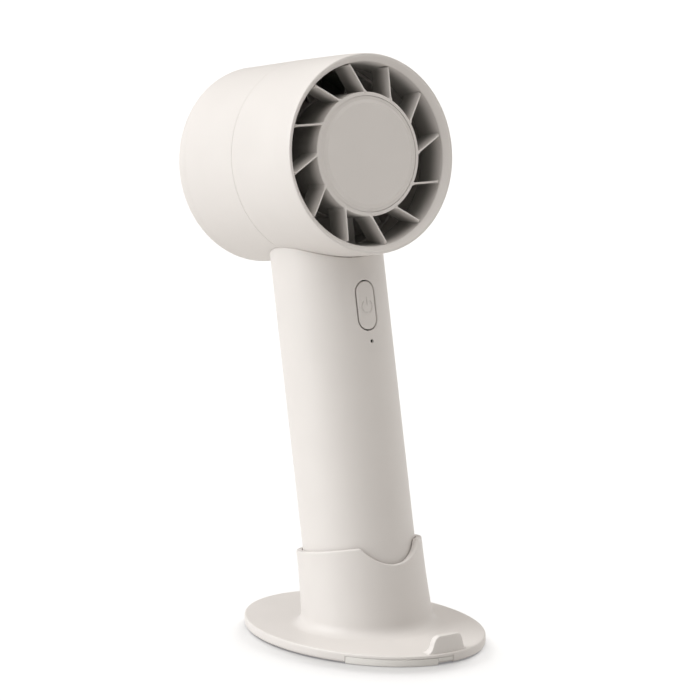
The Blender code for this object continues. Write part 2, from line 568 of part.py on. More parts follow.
def motor():
    tube_profile = [(3.4, -29.0), (3.4, -14.1), (4.4, -14.1), (4.4, -26.2), (8.0, -26.2), (8.0, -27.5),
        (3.7, -27.5), (3.7, -29.0)]
    revolve("bearing_tube", tube_profile, 16, HEAD, closed=True, colour=(0.7, 0.55, 0.25), rough=0.3,
        metal=1.0)
    for name, a in (("front_bearing", -27.0), ("rear_bearing", -18.0)):
        revolve(name, [(1.65, a), (3.1, a), (3.1, a + 3.0), (1.65, a + 3.0)], 14, HEAD, closed=True,
            colour=STEEL, rough=0.25, metal=1.0)

    # stator: nine wound teeth round the bearing tube
    points = []
    tooth = ((7.2, -0.30), (7.4, -0.24), (12.2, -0.135), (12.4, -0.27), (13.9, -0.27))
    for k in range(9):
        c = 2 * math.pi * k / 9
        for r, d in tooth + tuple((r, -d) for r, d in reversed(tooth)):
            points.append((r * math.sin(c + d), -r * math.cos(c + d)))
    stator = prism("motor_stator", points, -25.0, -16.5, HEAD, colour=COPPER, rough=0.35, metal=1.0)
    bore = [(0, -26), (4.7, -26), (4.7, -15), (0, -15)]
    boolean(stator, revolve("cut_stator", bore, 36, HEAD), "DIFFERENCE")

    can = [(1.65, -13.4), (15.4, -13.4), (15.4, -25.4), (16.4, -25.4), (16.4, -13.0), (15.9, -12.4),
        (1.65, -12.4)]
    revolve("rotor_can", can, 24, ROTOR, closed=True, colour=STEEL, rough=0.3, metal=1.0)
    revolve("magnet_ring", [(14.2, -24.8), (15.1, -24.8), (15.1, -15.8), (14.2, -15.8)], 24, ROTOR,
        closed=True, colour=DARK, rough=0.5, metal=0.6)
    revolve("motor_shaft", [(0, -27.2), (1.1, -27.2), (1.35, -26.9), (1.35, -0.4), (0, -0.4)], 20, ROTOR,
        colour=STEEL, rough=0.15, metal=1.0)

    hub = [(1.65, -11.2), (20.2, -11.2), (20.6, -10.8), (20.6, 6.0), (19.4, 10.0), (15.5, 13.6),
        (9.0, 15.6), (0, 16.2)]
    rings = [[(0, 0, 0.0)], circle(1.65, 0.0, 30)] + [circle(r, a, 30) for r, a in hub]
    wheel = add("impeller", *skin(rings), frame=ROTOR, colour=DARK, rough=0.5)
    verts, faces = [], []
    radii, depths = (19.6, 23.2, 26.9, BLADE_TIP_R), (-8.6, -4.2, 0.0, 4.2, 8.6)
    for k in range(BLADES):
        base = len(verts)
        for side in (-0.55, 0.55):
            for r in radii:
                for a in depths:
                    swing = 2 * math.pi * k / BLADES + a * 0.042 + (a / 8.6) ** 2 * 0.06 + side / r
                    verts.append((r * math.sin(swing), -r * math.cos(swing), a))
        nr, na = len(radii), len(depths)
        half = nr * na

        def at(side, i, j, base=base, half=half, na=na):
            return base + side * half + i * na + j

        for i in range(nr - 1):
            for j in range(na - 1):
                for side in (0, 1):
                    faces.append((at(side, i, j), at(side, i + 1, j), at(side, i + 1, j + 1),
                        at(side, i, j + 1)))
        for j in range(na - 1):
            for i in (0, nr - 1):
                faces.append((at(0, i, j), at(0, i, j + 1), at(1, i, j + 1), at(1, i, j)))
        for i in range(nr - 1):
            for j in (0, na - 1):
                faces.append((at(0, i, j), at(0, i + 1, j), at(1, i + 1, j), at(1, i, j)))
    boolean(wheel, add("join_blades", verts, faces, frame=ROTOR), "UNION")

    # duct ring keeps the air close to the blade tips
    duct = [(31.3, -8.6), (32.3, -8.6), (32.3, 12.0), (31.3, 12.0)]
    revolve("duct_ring", duct, 40, HEAD, closed=True, colour=DARK, rough=0.6)


stand()
handle()
electronics()
drum()
grille()
motor()
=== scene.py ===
"""Looks of the handheld turbo fan in its desk stand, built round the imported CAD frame.

Lengths are in millimetres in the pieces' own frames and become metres in build().
FAN: x right, y back, z up along the leaning handle. HEAD and FACE: x right, y down, z back.
In the names, _R is a radius, _T a thickness, _S a height along the leaning handle, and _A a
place along the head's axis, counted backwards from the middle of the head.
"""

import json
import math

import bmesh
import bpy
from mathutils import Matrix, Vector


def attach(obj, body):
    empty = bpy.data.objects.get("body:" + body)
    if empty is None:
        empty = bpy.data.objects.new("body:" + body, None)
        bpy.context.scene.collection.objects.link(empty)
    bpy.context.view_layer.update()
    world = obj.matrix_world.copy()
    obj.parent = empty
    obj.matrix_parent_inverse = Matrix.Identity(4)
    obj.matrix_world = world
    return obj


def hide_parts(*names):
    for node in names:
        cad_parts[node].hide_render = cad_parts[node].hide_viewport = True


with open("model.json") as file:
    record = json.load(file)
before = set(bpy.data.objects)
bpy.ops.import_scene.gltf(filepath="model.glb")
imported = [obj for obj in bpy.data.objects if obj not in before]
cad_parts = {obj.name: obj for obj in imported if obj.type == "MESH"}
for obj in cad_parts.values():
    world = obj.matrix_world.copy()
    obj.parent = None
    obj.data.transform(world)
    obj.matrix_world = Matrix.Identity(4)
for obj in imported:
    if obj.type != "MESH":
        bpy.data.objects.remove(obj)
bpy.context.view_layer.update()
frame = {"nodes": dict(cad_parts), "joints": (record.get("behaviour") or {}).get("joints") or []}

MM = 0.001
GAP = 0.3  # play between fitted pieces

# ---- stand, as the CAD has it ----
PLATE_A, PLATE_B = 36.0, 51.2
PLATE_LOW, PLATE_EDGE, PLATE_TOP = 0.35, 3.85, 4.6
COLLAR_RIM_R, COLLAR_FOOT_R, COLLAR_BORE_R = 21.88, 22.68, 20.15
COLLAR_RIM_S, CUP_FLOOR_S, CUP_FLOOR_T = 32.25, 8.3, 1.6
SCOOP_LOW_S, SCOOP_R, SCOOP_BLEND = 25.15, 14.2, 1.2
COVE = 4.5
RECESS_A, RECESS_B, RECESS_TOP = 31.5, 46.7, 3.2
POCKET_R = 17.8
BASE_PAD_TOP = 1.4
CUP_PAD_R, CUP_PAD_LOW_S, CUP_PAD_TOP_S = 19.0, 8.6, 9.1
TAB_X, TAB_INSET, TAB_T, TAB_TOP, TAB_LOW = -0.9, 0.7, 2.3, 10.0, 2.9
TAB_HEEL_T, TAB_HEEL_TOP = 1.3, 3.9
GRIP_FROM, GRIP_STEP, GRIP_TO = -0.96, -0.16, 0.005  # turn round the plate, from the front
GRIP_DEPTH, GRIP_TOP, GRIP_CLEAR = 3.1, 2.65, 0.1
GRIP_THICK_LOW, GRIP_THIN_LOW = 0.05, 1.2

# ---- handle ----
HANDLE_R, HANDLE_BORE_R = 19.55, 17.75
HANDLE_LOW_S = 11.2
PLUG_RIM_R, PLUG_R, PLUG_BORE_R = 19.5, 17.45, 15.9
PLUG_LOW_S, PLUG_RIM_S, PLUG_FLOOR_S, PLUG_TOP_S = 9.4, 10.9, 11.0, 14.0
BUTTON_S, BUTTON_HALF, BUTTON_R, BUTTON_CLEAR = 114.75, 4.55, 3.75, 0.5
BUTTON_SUNK, BUTTON_SOFT, BUTTON_BACK = 0.06, 0.32, -15.3
LED_S, LED_R = 102.3, 0.65
GUIDE_TIP_R, GUIDE_R, GUIDE_STEP, GUIDE_BACK = 0.5, 1.4, -17.2, -12.4
BUTTON_TURN, LED_TURN = math.radians(2.2), math.radians(3.7)
USB_S, USB_HALF, USB_R = 104.3, 2.9, 1.9
SOCKET_R, SOCKET_BORE_R, SOCKET_BACK, SOCKET_FLOOR, SOCKET_MOUTH = 1.6, 1.3, 9.7, 10.4, 17.6
TONGUE_HALF_W, TONGUE_HALF_T, TONGUE_TIP = 2.6, 0.35, 16.4
OPENING_LIP = 0.22  # rounding at the edges of the openings
BUTTON_PATCH, LED_PATCH, USB_PATCH = 11, 1.4, 4.6  # reach of the finer grid round them
ICON_R, ICON_STROKE, ICON_DEPTH, ICON_DROP, ICON_OPEN = 2.2, 0.2, 0.26, 0.35, 0.62
ICON_BAR_LOW, ICON_BAR_TOP = 0.3, 2.7

# ---- head ----
HEAD_S = 166.4
DRUM_R, DRUM_BORE_R = 34.6, 32.8
FRONT_A, SEAM_A, COVER_A, REAR_A = -33.3, 1.0, 30.6, 36.5
REAR_R, REAR_BORE_R, REAR_ROUND = 34.2, 32.2, 3.3
SEAM_HALF, SEAM_CHAMFER = 0.05, 0.1
LAP_A = 0.6  # how far a shell reaches into the next one at a seam
SCREW_RING_R, SCREEN_R = 27.6, 25.8
BOSS_R, BOSS_BORE_R, BOSS_LOW_A, BOSS_TOP_A = 3.1, 1.4, 20.5, 30.4
RIB_HALF, RIB_IN_R, RIB_OUT_R, RIB_TOP_A = 1.3, 30.3, 32.9, 30.1
COVER_INNER_A = 33.6
SCREW_SEAT_A, SCREW_SEAT_R, SCREW_HEAD_R, SCREW_HEAD_A, SCREW_TOP_A = 35.1, 2.4, 2.1, 35.4, 36.2
SCREW_R, SCREW_TIP_A, CROSS_LOW_A = 1.1, 22, 35.3
INTAKES, INTAKE_HALF, INTAKE_R, INTAKE_MIDDLE_R, INTAKE_TURN = 16, 6.0, 1.5, 16.8, math.radians(10)
CUT_FROM_A, CUT_TO_A = 31, 39  # cutters reach past the cover on both sides
SCREEN_LOW_A, SCREEN_TOP_A = 32.5, 33.3
VANES, VANE_FRONT_A, VANE_BACK_A = 12, -31.3, -21.8
VANE_ROOT, VANE_TIP = math.radians(4.1), math.radians(-6.9)
VANE_THIN, VANE_THICK, VANE_FLARE, VANE_ROUND = 0.30, 0.52, 0.35, 0.3
THROAT_R, HUB_R, HUB_BORE_R = 31.5, 21.25, 19.9
HUB_WEB_R, HUB_WEB_LOW_A, HUB_WEB_TOP_A, HUB_BACK_A = 4.0, -29.2, -27.8, -14.4
GRILLE_R, GRILLE_FRONT_A = 32.5, -29.92
DISC_FLAT_R, DISC_STEP_R, DISC_FRONT_A, DISC_EDGE_A, DISC_GAP = 17.4, 18.6, -32.1, -31.25, 0.1
DISC_BACK_A = -29.6
BLADES, BLADE_ROOT_R, BLADE_TIP_R, BLADE_HALF_A = 9, 19.6, 30.6, 8.6
BLADE_TWIST, BLADE_BOW, BLADE_HALF_T = 0.042, 0.06, 0.55
WHEEL_HUB_R, WHEEL_FRONT_A, SHAFT_R = 20.6, -11.2, 1.65
DUCT_BORE_R, DUCT_R, DUCT_FRONT_A, DUCT_BACK_A = 31.3, 32.3, -8.6, 12.0
STRUT_HALF_W, STRUT_BACK, STRUT_FRONT, STRUT_LOW_S, STRUT_TOP_S = 3, -13.9, -11.5, 133.8, 147.0

# ---- frames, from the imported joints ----
JOINTS = {j["name"]: j for j in frame["joints"]}
UP = Vector(JOINTS["fan_lift"]["axis"]).normalized()
AHEAD = Vector(JOINTS["impeller_spin"]["axis"]).normalized()
HEAD_POINT = Vector(JOINTS["impeller_spin"]["pos_m"])
TILT = math.atan2(UP.y, UP.z)


def axes(origin, x, y, z):
    m = Matrix((x, y, z)).transposed().to_4x4()
    m.translation = origin
    return m


RIGHT = Vector((1, 0, 0))
GROUND_POINT = HEAD_POINT - UP * (HEAD_S * MM)
AXIS_Y = GROUND_POINT.y / MM
WORLD = Matrix.Identity(4)
FAN = axes(GROUND_POINT, RIGHT, -AHEAD, UP)
FACE = axes(GROUND_POINT, RIGHT, -UP, -AHEAD)
HEAD = axes(HEAD_POINT, RIGHT, -UP, -AHEAD)


def turned(turn, lift=0.0):
    """FACE turned round the handle, for pieces that sit off the middle."""
    across = RIGHT * math.cos(turn) - AHEAD * math.sin(turn)
    outward = RIGHT * math.sin(turn) + AHEAD * math.cos(turn)
    return axes(GROUND_POINT + UP * (lift * MM), across, -UP, -outward)


BUTTON = turned(BUTTON_TURN, BUTTON_S)


# ---------------------------------------------------------------- materials


def mixed(tree, colour_a, colour_b, factor, blend="MIX"):
    """A colour mix node. Colours and factor are sockets to link from, or plain values."""
    mix = tree.nodes.new("ShaderNodeMix")
    mix.data_type = "RGBA"
    mix.blend_type = blend
    for name, value in (("A", colour_a), ("B", colour_b), ("Factor", factor)):
        if isinstance(value, bpy.types.NodeSocket):
            tree.links.new(value, mix.inputs[name])
        elif isinstance(value, tuple):
            mix.inputs[name].default_value = (*value, 1)
        else:
            mix.inputs[name].default_value = value
    return mix.outputs["Result"]


def surface(name, colour, rough, metal=0.0, vary=0.03, patch=55.0, grain=4200.0, bump=0.05):
    """Procedural surface: soft variation of colour and gloss, and a fine moulded grain."""
    mat = bpy.data.materials.new(name)
    mat.use_nodes = True
    tree = mat.node_tree
    new, link = tree.nodes.new, tree.links.new
    shader = tree.nodes["Principled BSDF"]
    coords = new("ShaderNodeTexCoord")

    broad = new("ShaderNodeTexNoise")
    broad.inputs["Scale"].default_value = patch
    broad.inputs["Detail"].default_value = 4.0
    link(coords.outputs["Object"], broad.inputs["Vector"])
    fine = new("ShaderNodeTexNoise")
    fine.inputs["Scale"].default_value = grain
    fine.inputs["Detail"].default_value = 2.0
    link(coords.outputs["Object"], fine.inputs["Vector"])

    tint = new("ShaderNodeValToRGB")
    tint.color_ramp.elements[0].position = 0.3
    tint.color_ramp.elements[1].position = 0.7
    tint.color_ramp.elements[0].color = (*[c * (1 - vary) for c in colour], 1)
    tint.color_ramp.elements[1].color = (*[min(c * (1 + vary), 1) for c in colour], 1)
    link(broad.outputs["Fac"], tint.inputs["Fac"])
    paint = tint.outputs["Color"]
    link(paint, shader.inputs["Base Color"])

    gloss = new("ShaderNodeMapRange")
    gloss.inputs["To Min"].default_value = rough - 0.05
    gloss.inputs["To Max"].default_value = rough + 0.05
    link(broad.outputs["Fac"], gloss.inputs["Value"])
    link(gloss.outputs["Result"], shader.inputs["Roughness"])

    relief = new("ShaderNodeBump")
    relief.inputs["Strength"].default_value = bump
    relief.inputs["Distance"].default_value = RELIEF_M
    link(fine.outputs["Fac"], relief.inputs["Height"])
    link(relief.outputs["Normal"], shader.inputs["Normal"])
    shader.inputs["Metallic"].default_value = metal
    return mat, tree, shader, paint, relief


def banded(name, colour, second, rough, scale, axis="Z", metal=0.0, sharp=0.5, depth=0.3):
    """A surface with fine bands: windings, weave, brushed or turned metal."""
    mat, tree, shader, paint, relief = surface(name, colour, rough, metal)
    new, link = tree.nodes.new, tree.links.new
    coords = new("ShaderNodeTexCoord")
    wave = new("ShaderNodeTexWave")
    wave.bands_direction = axis
    wave.inputs["Scale"].default_value = scale
    wave.inputs["Distortion"].default_value = 0.4
    link(coords.outputs["Object"], wave.inputs["Vector"])
    share = new("ShaderNodeMath")
    share.operation = "MULTIPLY"
    share.inputs[1].default_value = sharp
    link(wave.outputs["Fac"], share.inputs[0])
    link(mixed(tree, paint, second, share.outputs[0]), shader.inputs["Base Color"])
    grooves = new("ShaderNodeBump")
    grooves.inputs["Strength"].default_value = depth
    grooves.inputs["Distance"].default_value = RELIEF_M
    link(wave.outputs["Fac"], grooves.inputs["Height"])
    link(relief.outputs["Normal"], grooves.inputs["Normal"])
    link(grooves.outputs["Normal"], shader.inputs["Normal"])
    return mat


def painted_inward_shade(name, front_a, back_a, deep):
    """The shell's white at the front of the head, with painted shade that darkens it to the colour
    deep towards the inside.
    """
    mat, tree, shader, paint, _ = surface(name, SHELL, SHELL_ROUGH, vary=SHELL_VARY)
    coords = tree.nodes.new("ShaderNodeTexCoord")
    along = tree.nodes.new("ShaderNodeVectorMath")
    along.operation = "DOT_PRODUCT"
    along.inputs[1].default_value = AHEAD
    # painted shade: the base colour turns from the shell's white to the dark colour with depth
    # along the head's axis
    painted_shade_fade = tree.nodes.new("ShaderNodeMapRange")
    painted_shade_fade.interpolation_type = "SMOOTHSTEP"
    centre = HEAD_POINT.dot(AHEAD)
    painted_shade_fade.inputs["From Min"].default_value = centre - back_a * MM
    painted_shade_fade.inputs["From Max"].default_value = centre - front_a * MM
    tree.links.new(coords.outputs["Object"], along.inputs[0])
    tree.links.new(along.outputs["Value"], painted_shade_fade.inputs["Value"])
    tree.links.new(mixed(tree, deep, paint, painted_shade_fade.outputs["Result"]), shader.inputs["Base Color"])
    return mat


RELIEF_M = 0.0002  # height of the grain and grooves, in metres
SHELL, SHELL_ROUGH, SHELL_VARY = (0.662, 0.630, 0.606), 0.46, 0.012
LOOKS = {
    "white_shell": surface("abs_white", SHELL, SHELL_ROUGH, vary=SHELL_VARY)[0],
    "white_inner": surface("abs_inner", (0.60, 0.58, 0.55), 0.6)[0],
    "grip_silicone": surface("silicone_pale", (0.70, 0.68, 0.65), 0.62, grain=2600.0, bump=0.15)[0],
    "pad_rubber": surface(
        "rubber_grey", (0.42, 0.41, 0.39), 0.85, vary=0.06, grain=1500.0, bump=0.5
    )[0],
    "dark_pad": surface(
        "foam_dark", (0.035, 0.035, 0.037), 0.95, vary=0.2, grain=900.0, bump=0.9
    )[0],
    "dark_plastic": surface("plastic_dark", (0.016, 0.016, 0.017), 0.5, vary=0.15)[0],
    "magnet": surface("magnet_coating", (0.05, 0.05, 0.055), 0.45, metal=0.4, vary=0.2)[0],
    "board_green": surface(
        "solder_mask", (0.012, 0.13, 0.05), 0.32, vary=0.3, patch=420.0, grain=1400.0, bump=0.25
    )[0],
    "lens_dark": surface("lens_smoked", (0.006, 0.006, 0.006), 0.12, vary=0.1, bump=0.01)[0],
    "led_clear": surface("led_resin", (0.7, 0.75, 0.8), 0.12, vary=0.05, bump=0.01)[0],
    "lead_red": surface("lead_red", (0.5, 0.02, 0.02), 0.45, vary=0.1, bump=0.1)[0],
    "lead_black": surface("lead_black", (0.02, 0.02, 0.022), 0.45, vary=0.1, bump=0.1)[0],
    "steel": banded(
        "steel_brushed", (0.50, 0.51, 0.53), (0.36, 0.37, 0.39), 0.3, 2200.0, metal=1.0, depth=0.1
    ),
    "brass": banded(
        "brass_turned", (0.62, 0.46, 0.2), (0.48, 0.34, 0.13), 0.28, 1500.0, metal=1.0, depth=0.1
    ),
    "copper_wound": banded(
        "copper_windings", (0.62, 0.26, 0.12), (0.18, 0.06, 0.03), 0.35, 900.0, metal=0.8, depth=0.9
    ),
    "cell_wrap": banded(
        "cell_wrap_blue", (0.03, 0.16, 0.5), (0.02, 0.10, 0.38), 0.3, 30.0, sharp=0.6, depth=0.02
    ),
}
# grille white with painted shade: darker from a = -30.6 back to a = -24.0, down to the dark colour
# given here
GRILLE_PAINTED_SHADE = painted_inward_shade("abs_grille_painted_shade", -30.6, -24.0, (0.27, 0.26, 0.245))
INNER_DARK = surface("plastic_inner_dark", (0.46, 0.44, 0.42), 0.6, vary=0.06)[0]
SCREEN = banded(
    "screen_mesh", (0.13, 0.127, 0.122), (0.2, 0.195, 0.19), 0.9, 520.0, axis="DIAGONAL", depth=0.8
)


# ---------------------------------------------------------------- mesh helpers


def build(name, verts, faces, at, slot, body, replaces=(), angle=42.0, look=None):
    """A piece from points in millimetres in the frame `at`, riding on a body."""
    mesh = bpy.data.meshes.new(name)
    mesh.from_pydata([at @ Vector([c * MM for c in v]) for v in verts], [], faces)
    bm = bmesh.new()
    bm.from_mesh(mesh)
    bmesh.ops.remove_doubles(bm, verts=bm.verts, dist=1e-7)
    bmesh.ops.recalc_face_normals(bm, faces=bm.faces)
    bm.to_mesh(mesh)
    bm.free()
    mesh.shade_smooth()
    mesh.set_sharp_from_angle(angle=math.radians(angle))
    obj = bpy.data.objects.new(name, mesh)
    bpy.context.scene.collection.objects.link(obj)
    mesh.materials.append(look or LOOKS[slot])
    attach(obj, body)
    if replaces:
        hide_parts(*replaces)
    return obj


def apply_boolean(body, cutter, operation):
    mod = body.modifiers.new("cut", "BOOLEAN")
    mod.operation, mod.solver, mod.object = operation, "EXACT", cutter
    bpy.context.view_layer.update()
    shaped = bpy.data.meshes.new_from_object(
        body.evaluated_get(bpy.context.evaluated_depsgraph_get())
    )
    body.modifiers.remove(mod)
    body.data = shaped
    bpy.data.objects.remove(cutter, do_unlink=True)


def skin(rings, closed=False):
    """Points and faces through rings of equal length. A ring of one point is a pole."""
    verts, starts, faces = [], [], []
    for ring in rings:
        starts.append(len(verts))
        verts.extend(ring)
    order = list(range(len(rings))) + ([0] if closed else [])
    for i, j in zip(order, order[1:]):
        a, b = rings[i], rings[j]
        n = max(len(a), len(b))
        for k in range(n):
            m = (k + 1) % n
            if len(a) == 1:
                faces.append((starts[i], starts[j] + k, starts[j] + m))
            elif len(b) == 1:
                faces.append((starts[i] + k, starts[j], starts[i] + m))
            else:
                faces.append((starts[i] + k, starts[j] + k, starts[j] + m, starts[i] + m))
    return verts, faces


def middle(ring):
    return tuple(sum(c) / len(ring) for c in zip(*ring))


def bar(rings):
    """A skin through rings that is closed by a pole in the middle of each end."""
    return skin([[middle(rings[0])]] + rings + [[middle(rings[-1])]])


def merged(*parts):
    verts, faces = [], []
    for more, more_faces in parts:
        faces += [tuple(i + len(verts) for i in face) for face in more_faces]
        verts += more
    return verts, faces


def turns(n):
    return [2 * math.pi * k / n for k in range(n)]


def circle(r, a, n, x=0.0, y=0.0):
    if r <= 0:
        return [(x, y, a)]
    return [(x + r * math.sin(t), y - r * math.cos(t), a) for t in turns(n)]


def oval(a, b, z, n):
    return [(a * math.sin(t), -b * math.cos(t), z) for t in turns(n)]


def rounded(corners, closed=False, steps=4):
    """A line through corners (x, y) or (x, y, radius), with the radii blended in.

    A blend takes at most half of each side, so a large radius between close corners shrinks.
    """
    out, n = [], len(corners)
    for i, corner in enumerate(corners):
        p, r = Vector(corner[:2]), corner[2] if len(corner) > 2 else 0.0
        if not r or (not closed and i in (0, n - 1)):
            out.append(tuple(p))
            continue
        a, b = Vector(corners[i - 1][:2]) - p, Vector(corners[(i + 1) % n][:2]) - p
        cut = min(r / max(math.tan(a.angle(b) / 2), 1e-3), a.length * 0.49, b.length * 0.49)
        a, b = p + a.normalized() * cut, p + b.normalized() * cut
        for k in range(steps + 1):
            w = k / steps
            out.append(tuple(a.lerp(p, w).lerp(p.lerp(b, w), w)))
    return out


def lathe(corners, n, closed=False, x=0.0, y=0.0, steps=4):
    return skin([circle(r, a, n, x, y) for r, a in rounded(corners, closed, steps)], closed)


def onto_pill(u, v, half, r, upright=True):
    """The point of a pill outline nearest to (u, v)."""
    cu, cv = (0.0, max(-half, min(half, v))) if upright else (max(-half, min(half, u)), 0.0)
    d = Vector((u - cu, v - cv)).normalized() * r
    return cu + d.x, cv + d.y


# ---------------------------------------------------------------- stand


def leaning(x, y, s):
    """A point of the leaning frame, in millimetres on the table's axes."""
    return (FAN @ Vector((x * MM, y * MM, s * MM))) / MM


def scoop(u):
    """Height of the collar's rim at the sideways distance u, with the thumb scoop blended in."""
    low = COLLAR_RIM_S + SCOOP_BLEND
    if abs(u) < SCOOP_R:
        low = SCOOP_LOW_S + SCOOP_R - math.sqrt(SCOOP_R**2 - u * u)
    h = max(SCOOP_BLEND - abs(low - COLLAR_RIM_S), 0) / SCOOP_BLEND
    return min(low, COLLAR_RIM_S) - h * h * SCOOP_BLEND / 4


def under(y):
    """Underside of the cup floor at depth y, as a height."""
    return (CUP_FLOOR_S - CUP_FLOOR_T - (y - AXIS_Y) * math.sin(TILT)) / math.cos(TILT)


def edge_y(x, inset):
    """The plate's front edge at x, moved in by the inset."""
    return -(PLATE_B - inset) * math.sqrt(1 - (x / (PLATE_A - inset)) ** 2)


def grip_bar(section, start, end, steps):
    """A bar along the plate's rim. The section holds (inset, height) points."""
    rings = []
    for k in range(steps + 1):
        t = start + (end - start) * k / steps
        rings.append(
            [((PLATE_A - i) * math.sin(t), -(PLATE_B - i) * math.cos(t), z) for i, z in section]
        )
    return bar(rings)


def stand():
    n, cove_steps, fan_steps, wall_steps = 360, 12, 6, 9
    turn = turns(n)

    def on_level(t):
        """Where the collar's wall meets the height of the plate's top."""
        return (PLATE_TOP - COLLAR_FOOT_R * math.cos(t) * math.sin(TILT)) / math.cos(TILT)

    def wall(r, s_of):
        return [tuple(leaning(r * math.sin(t), -r * math.cos(t), s_of(t))) for t in turn]

    def top(t):
        return scoop(COLLAR_RIM_R * math.sin(t)) if math.cos(t) > 0 else COLLAR_RIM_S

    foot = [Vector(p) for p in wall(COLLAR_FOOT_R, on_level)]
    start = [b + Vector((math.sin(t), -math.cos(t), -0.03)) * COVE for b, t in zip(foot, turn)]
    rise = UP * COVE

    # from the pocket under the cup, out round the plate and in along its top to the cove
    pocket = circle(POCKET_R, 0, n)
    rings = [[(0, 0, under(0))]]
    rings += [[(x, y, under(y)) for x, y, _ in pocket], [(x, y, RECESS_TOP) for x, y, _ in pocket]]
    lip = [(PLATE_A - RECESS_A, RECESS_TOP), (PLATE_A - RECESS_A, PLATE_LOW, 0.3)]
    lip += [(0, PLATE_LOW, 1.1), (0, PLATE_EDGE, 0.75), (1.3, PLATE_EDGE + 0.02)]
    rings += [oval(PLATE_A - inset, PLATE_B - inset, z, n) for inset, z in rounded(lip, steps=6)]
    edge = [Vector(p) for p in rings[-1]]
    for k in range(1, fan_steps):
        rings.append([tuple(e.lerp(p, k / fan_steps)) for e, p in zip(edge, start)])

    # up the cove and the collar, over the rim and down the bore
    for k in range(cove_steps + 1):
        w = k / cove_steps
        bend = [p.lerp(b, w).lerp(b.lerp(b + rise, w), w) for p, b in zip(start, foot)]
        rings.append([tuple(p) for p in bend])
    for k in range(1, wall_steps):
        w = k / wall_steps
        r = COLLAR_RIM_R + (COLLAR_FOOT_R - COLLAR_RIM_R) * (1 - w) ** 2
        rings.append(wall(r, lambda t, w=w: (on_level(t) + COVE) * (1 - w) + (top(t) - 1.2) * w))
    inner = COLLAR_BORE_R - 0.3
    rim = [(COLLAR_RIM_R, -1.2), (COLLAR_RIM_R, 0.0, 0.7), (inner, 0.0, 0.4), (inner, -0.8)]
    for r, drop in rounded(rim + [(COLLAR_BORE_R, -1.6)], steps=5):
        rings.append(wall(r, lambda t, drop=drop: top(t) + drop))
    for rise_s in (0.8, 0.2):
        rings.append(wall(COLLAR_BORE_R, lambda t, s=CUP_FLOOR_S + rise_s: s))
    rings.append(wall(COLLAR_BORE_R - 0.6, lambda t: CUP_FLOOR_S))
    rings.append([tuple(leaning(0, 0, CUP_FLOOR_S))])
    body = build(
        "stand_body", *skin(rings), WORLD, "white_shell", "stand", ["stand_shell"], angle=35
    )

    # the notch for the grip strip, cut a little wider than the strip at both ends
    beyond, deep, high = -1, GRIP_DEPTH + GRIP_CLEAR, GRIP_TOP + GRIP_CLEAR
    notch = [(beyond, beyond), (deep, beyond), (deep, high), (beyond, high)]
    notch = grip_bar(notch, GRIP_FROM - 0.003, GRIP_TO + 0.003, 90)
    apply_boolean(body, build("cut_grip", *notch, WORLD, "white_shell", "stand"), "DIFFERENCE")

    # phone stop: a thin curved wall that follows the plate's front edge, higher in the middle
    side = [(-8.3, 3.1), (-8.2, 3.7), (-7.4, 4.2, 1.2), (-6.7, 5.0, 1.5), (-6.2, 6.2, 1.5)]
    side += [(-5.7, 8.0, 2.0), (-5.2, 9.0, 1.0), (-4.5, 9.7, 1.0), (-3.6, TAB_TOP, 1.0)]
    side = rounded(side + [(0.0, TAB_TOP + 0.1)], steps=5)
    back, heel = TAB_INSET + TAB_T, TAB_INSET + TAB_T + TAB_HEEL_T
    columns = []
    for across, z in side + [(-x, z) for x, z in reversed(side[:-1])]:
        x = TAB_X + across
        section = [(TAB_INSET, TAB_LOW), (TAB_INSET, z, 0.45), (back, z, 0.45)]
        section += [(back, TAB_HEEL_TOP + 1.7, 3.0), (heel, TAB_HEEL_TOP, 0.8), (heel, TAB_LOW)]
        columns.append(
            [(x, edge_y(x, i), min(max(h, TAB_LOW), z)) for i, h in rounded(section, steps=5)]
        )
    apply_boolean(body, build("join_stop", *bar(columns), WORLD, "white_shell", "stand"), "UNION")
    body.data.set_sharp_from_angle(angle=math.radians(35))

    edge = rounded([(1.0, 0.0), (0, 0, 0.35), (0, BASE_PAD_TOP, 0.3), (1.0, BASE_PAD_TOP)], steps=3)
    rings = [oval(RECESS_A - GAP - i, RECESS_B - GAP - i, z, 160) for i, z in edge]
    build("pad_under", *bar(rings), WORLD, "pad_rubber", "stand", ["base_pad"])
    pad = [(0, CUP_PAD_LOW_S), (CUP_PAD_R, CUP_PAD_LOW_S, 0.1), (CUP_PAD_R, CUP_PAD_TOP_S, 0.2)]
    pad = lathe(pad + [(0, CUP_PAD_TOP_S)], 160)
    build("pad_cup", *pad, FAN, "dark_pad", "stand", ["cup_pad"])

    # grip strip let into the front rim, left of the middle: thick, then a thin last stretch
    for name, node, low, first, last in (
        ("grip_thick", "grip_strip", GRIP_THICK_LOW, GRIP_FROM, GRIP_STEP - 0.001),
        ("grip_thin", "grip_strip_end", GRIP_THIN_LOW, GRIP_STEP + 0.001, GRIP_TO),
    ):
        section = [(GRIP_CLEAR, low, 0.45), (GRIP_DEPTH, low, 0.2)]
        section += [(GRIP_DEPTH, GRIP_TOP, 0.1), (GRIP_CLEAR, GRIP_TOP, 0.25)]
        strip = grip_bar(rounded(section, closed=True), first, last, 50)
        build(name, *strip, WORLD, "grip_silicone", "stand", [node])


# ---------------------------------------------------------------- handle


def patch_loop(cols, rows):
    """The (u, s) points round the edge of a patch of the handle's grid."""
    (u0, u1), (v0, v1) = (cols[0], cols[-1]), (rows[0], rows[-1])
    loop = [(u, v0) for u in cols] + [(u1, v) for v in rows[1:]]
    return loop + [(u, v1) for u in cols[-2::-1]] + [(u0, v) for v in rows[-2:0:-1]]


def pill_of(half, r, cu, cv, upright=True):
    """A function that moves (u, v) onto the pill round (cu, cv), grown by an offset."""

    def outline(u, v, offset):
        pu, pv = onto_pill(u - cu, v - cv, half, r + offset, upright)
        return pu + cu, pv + cv

    return outline


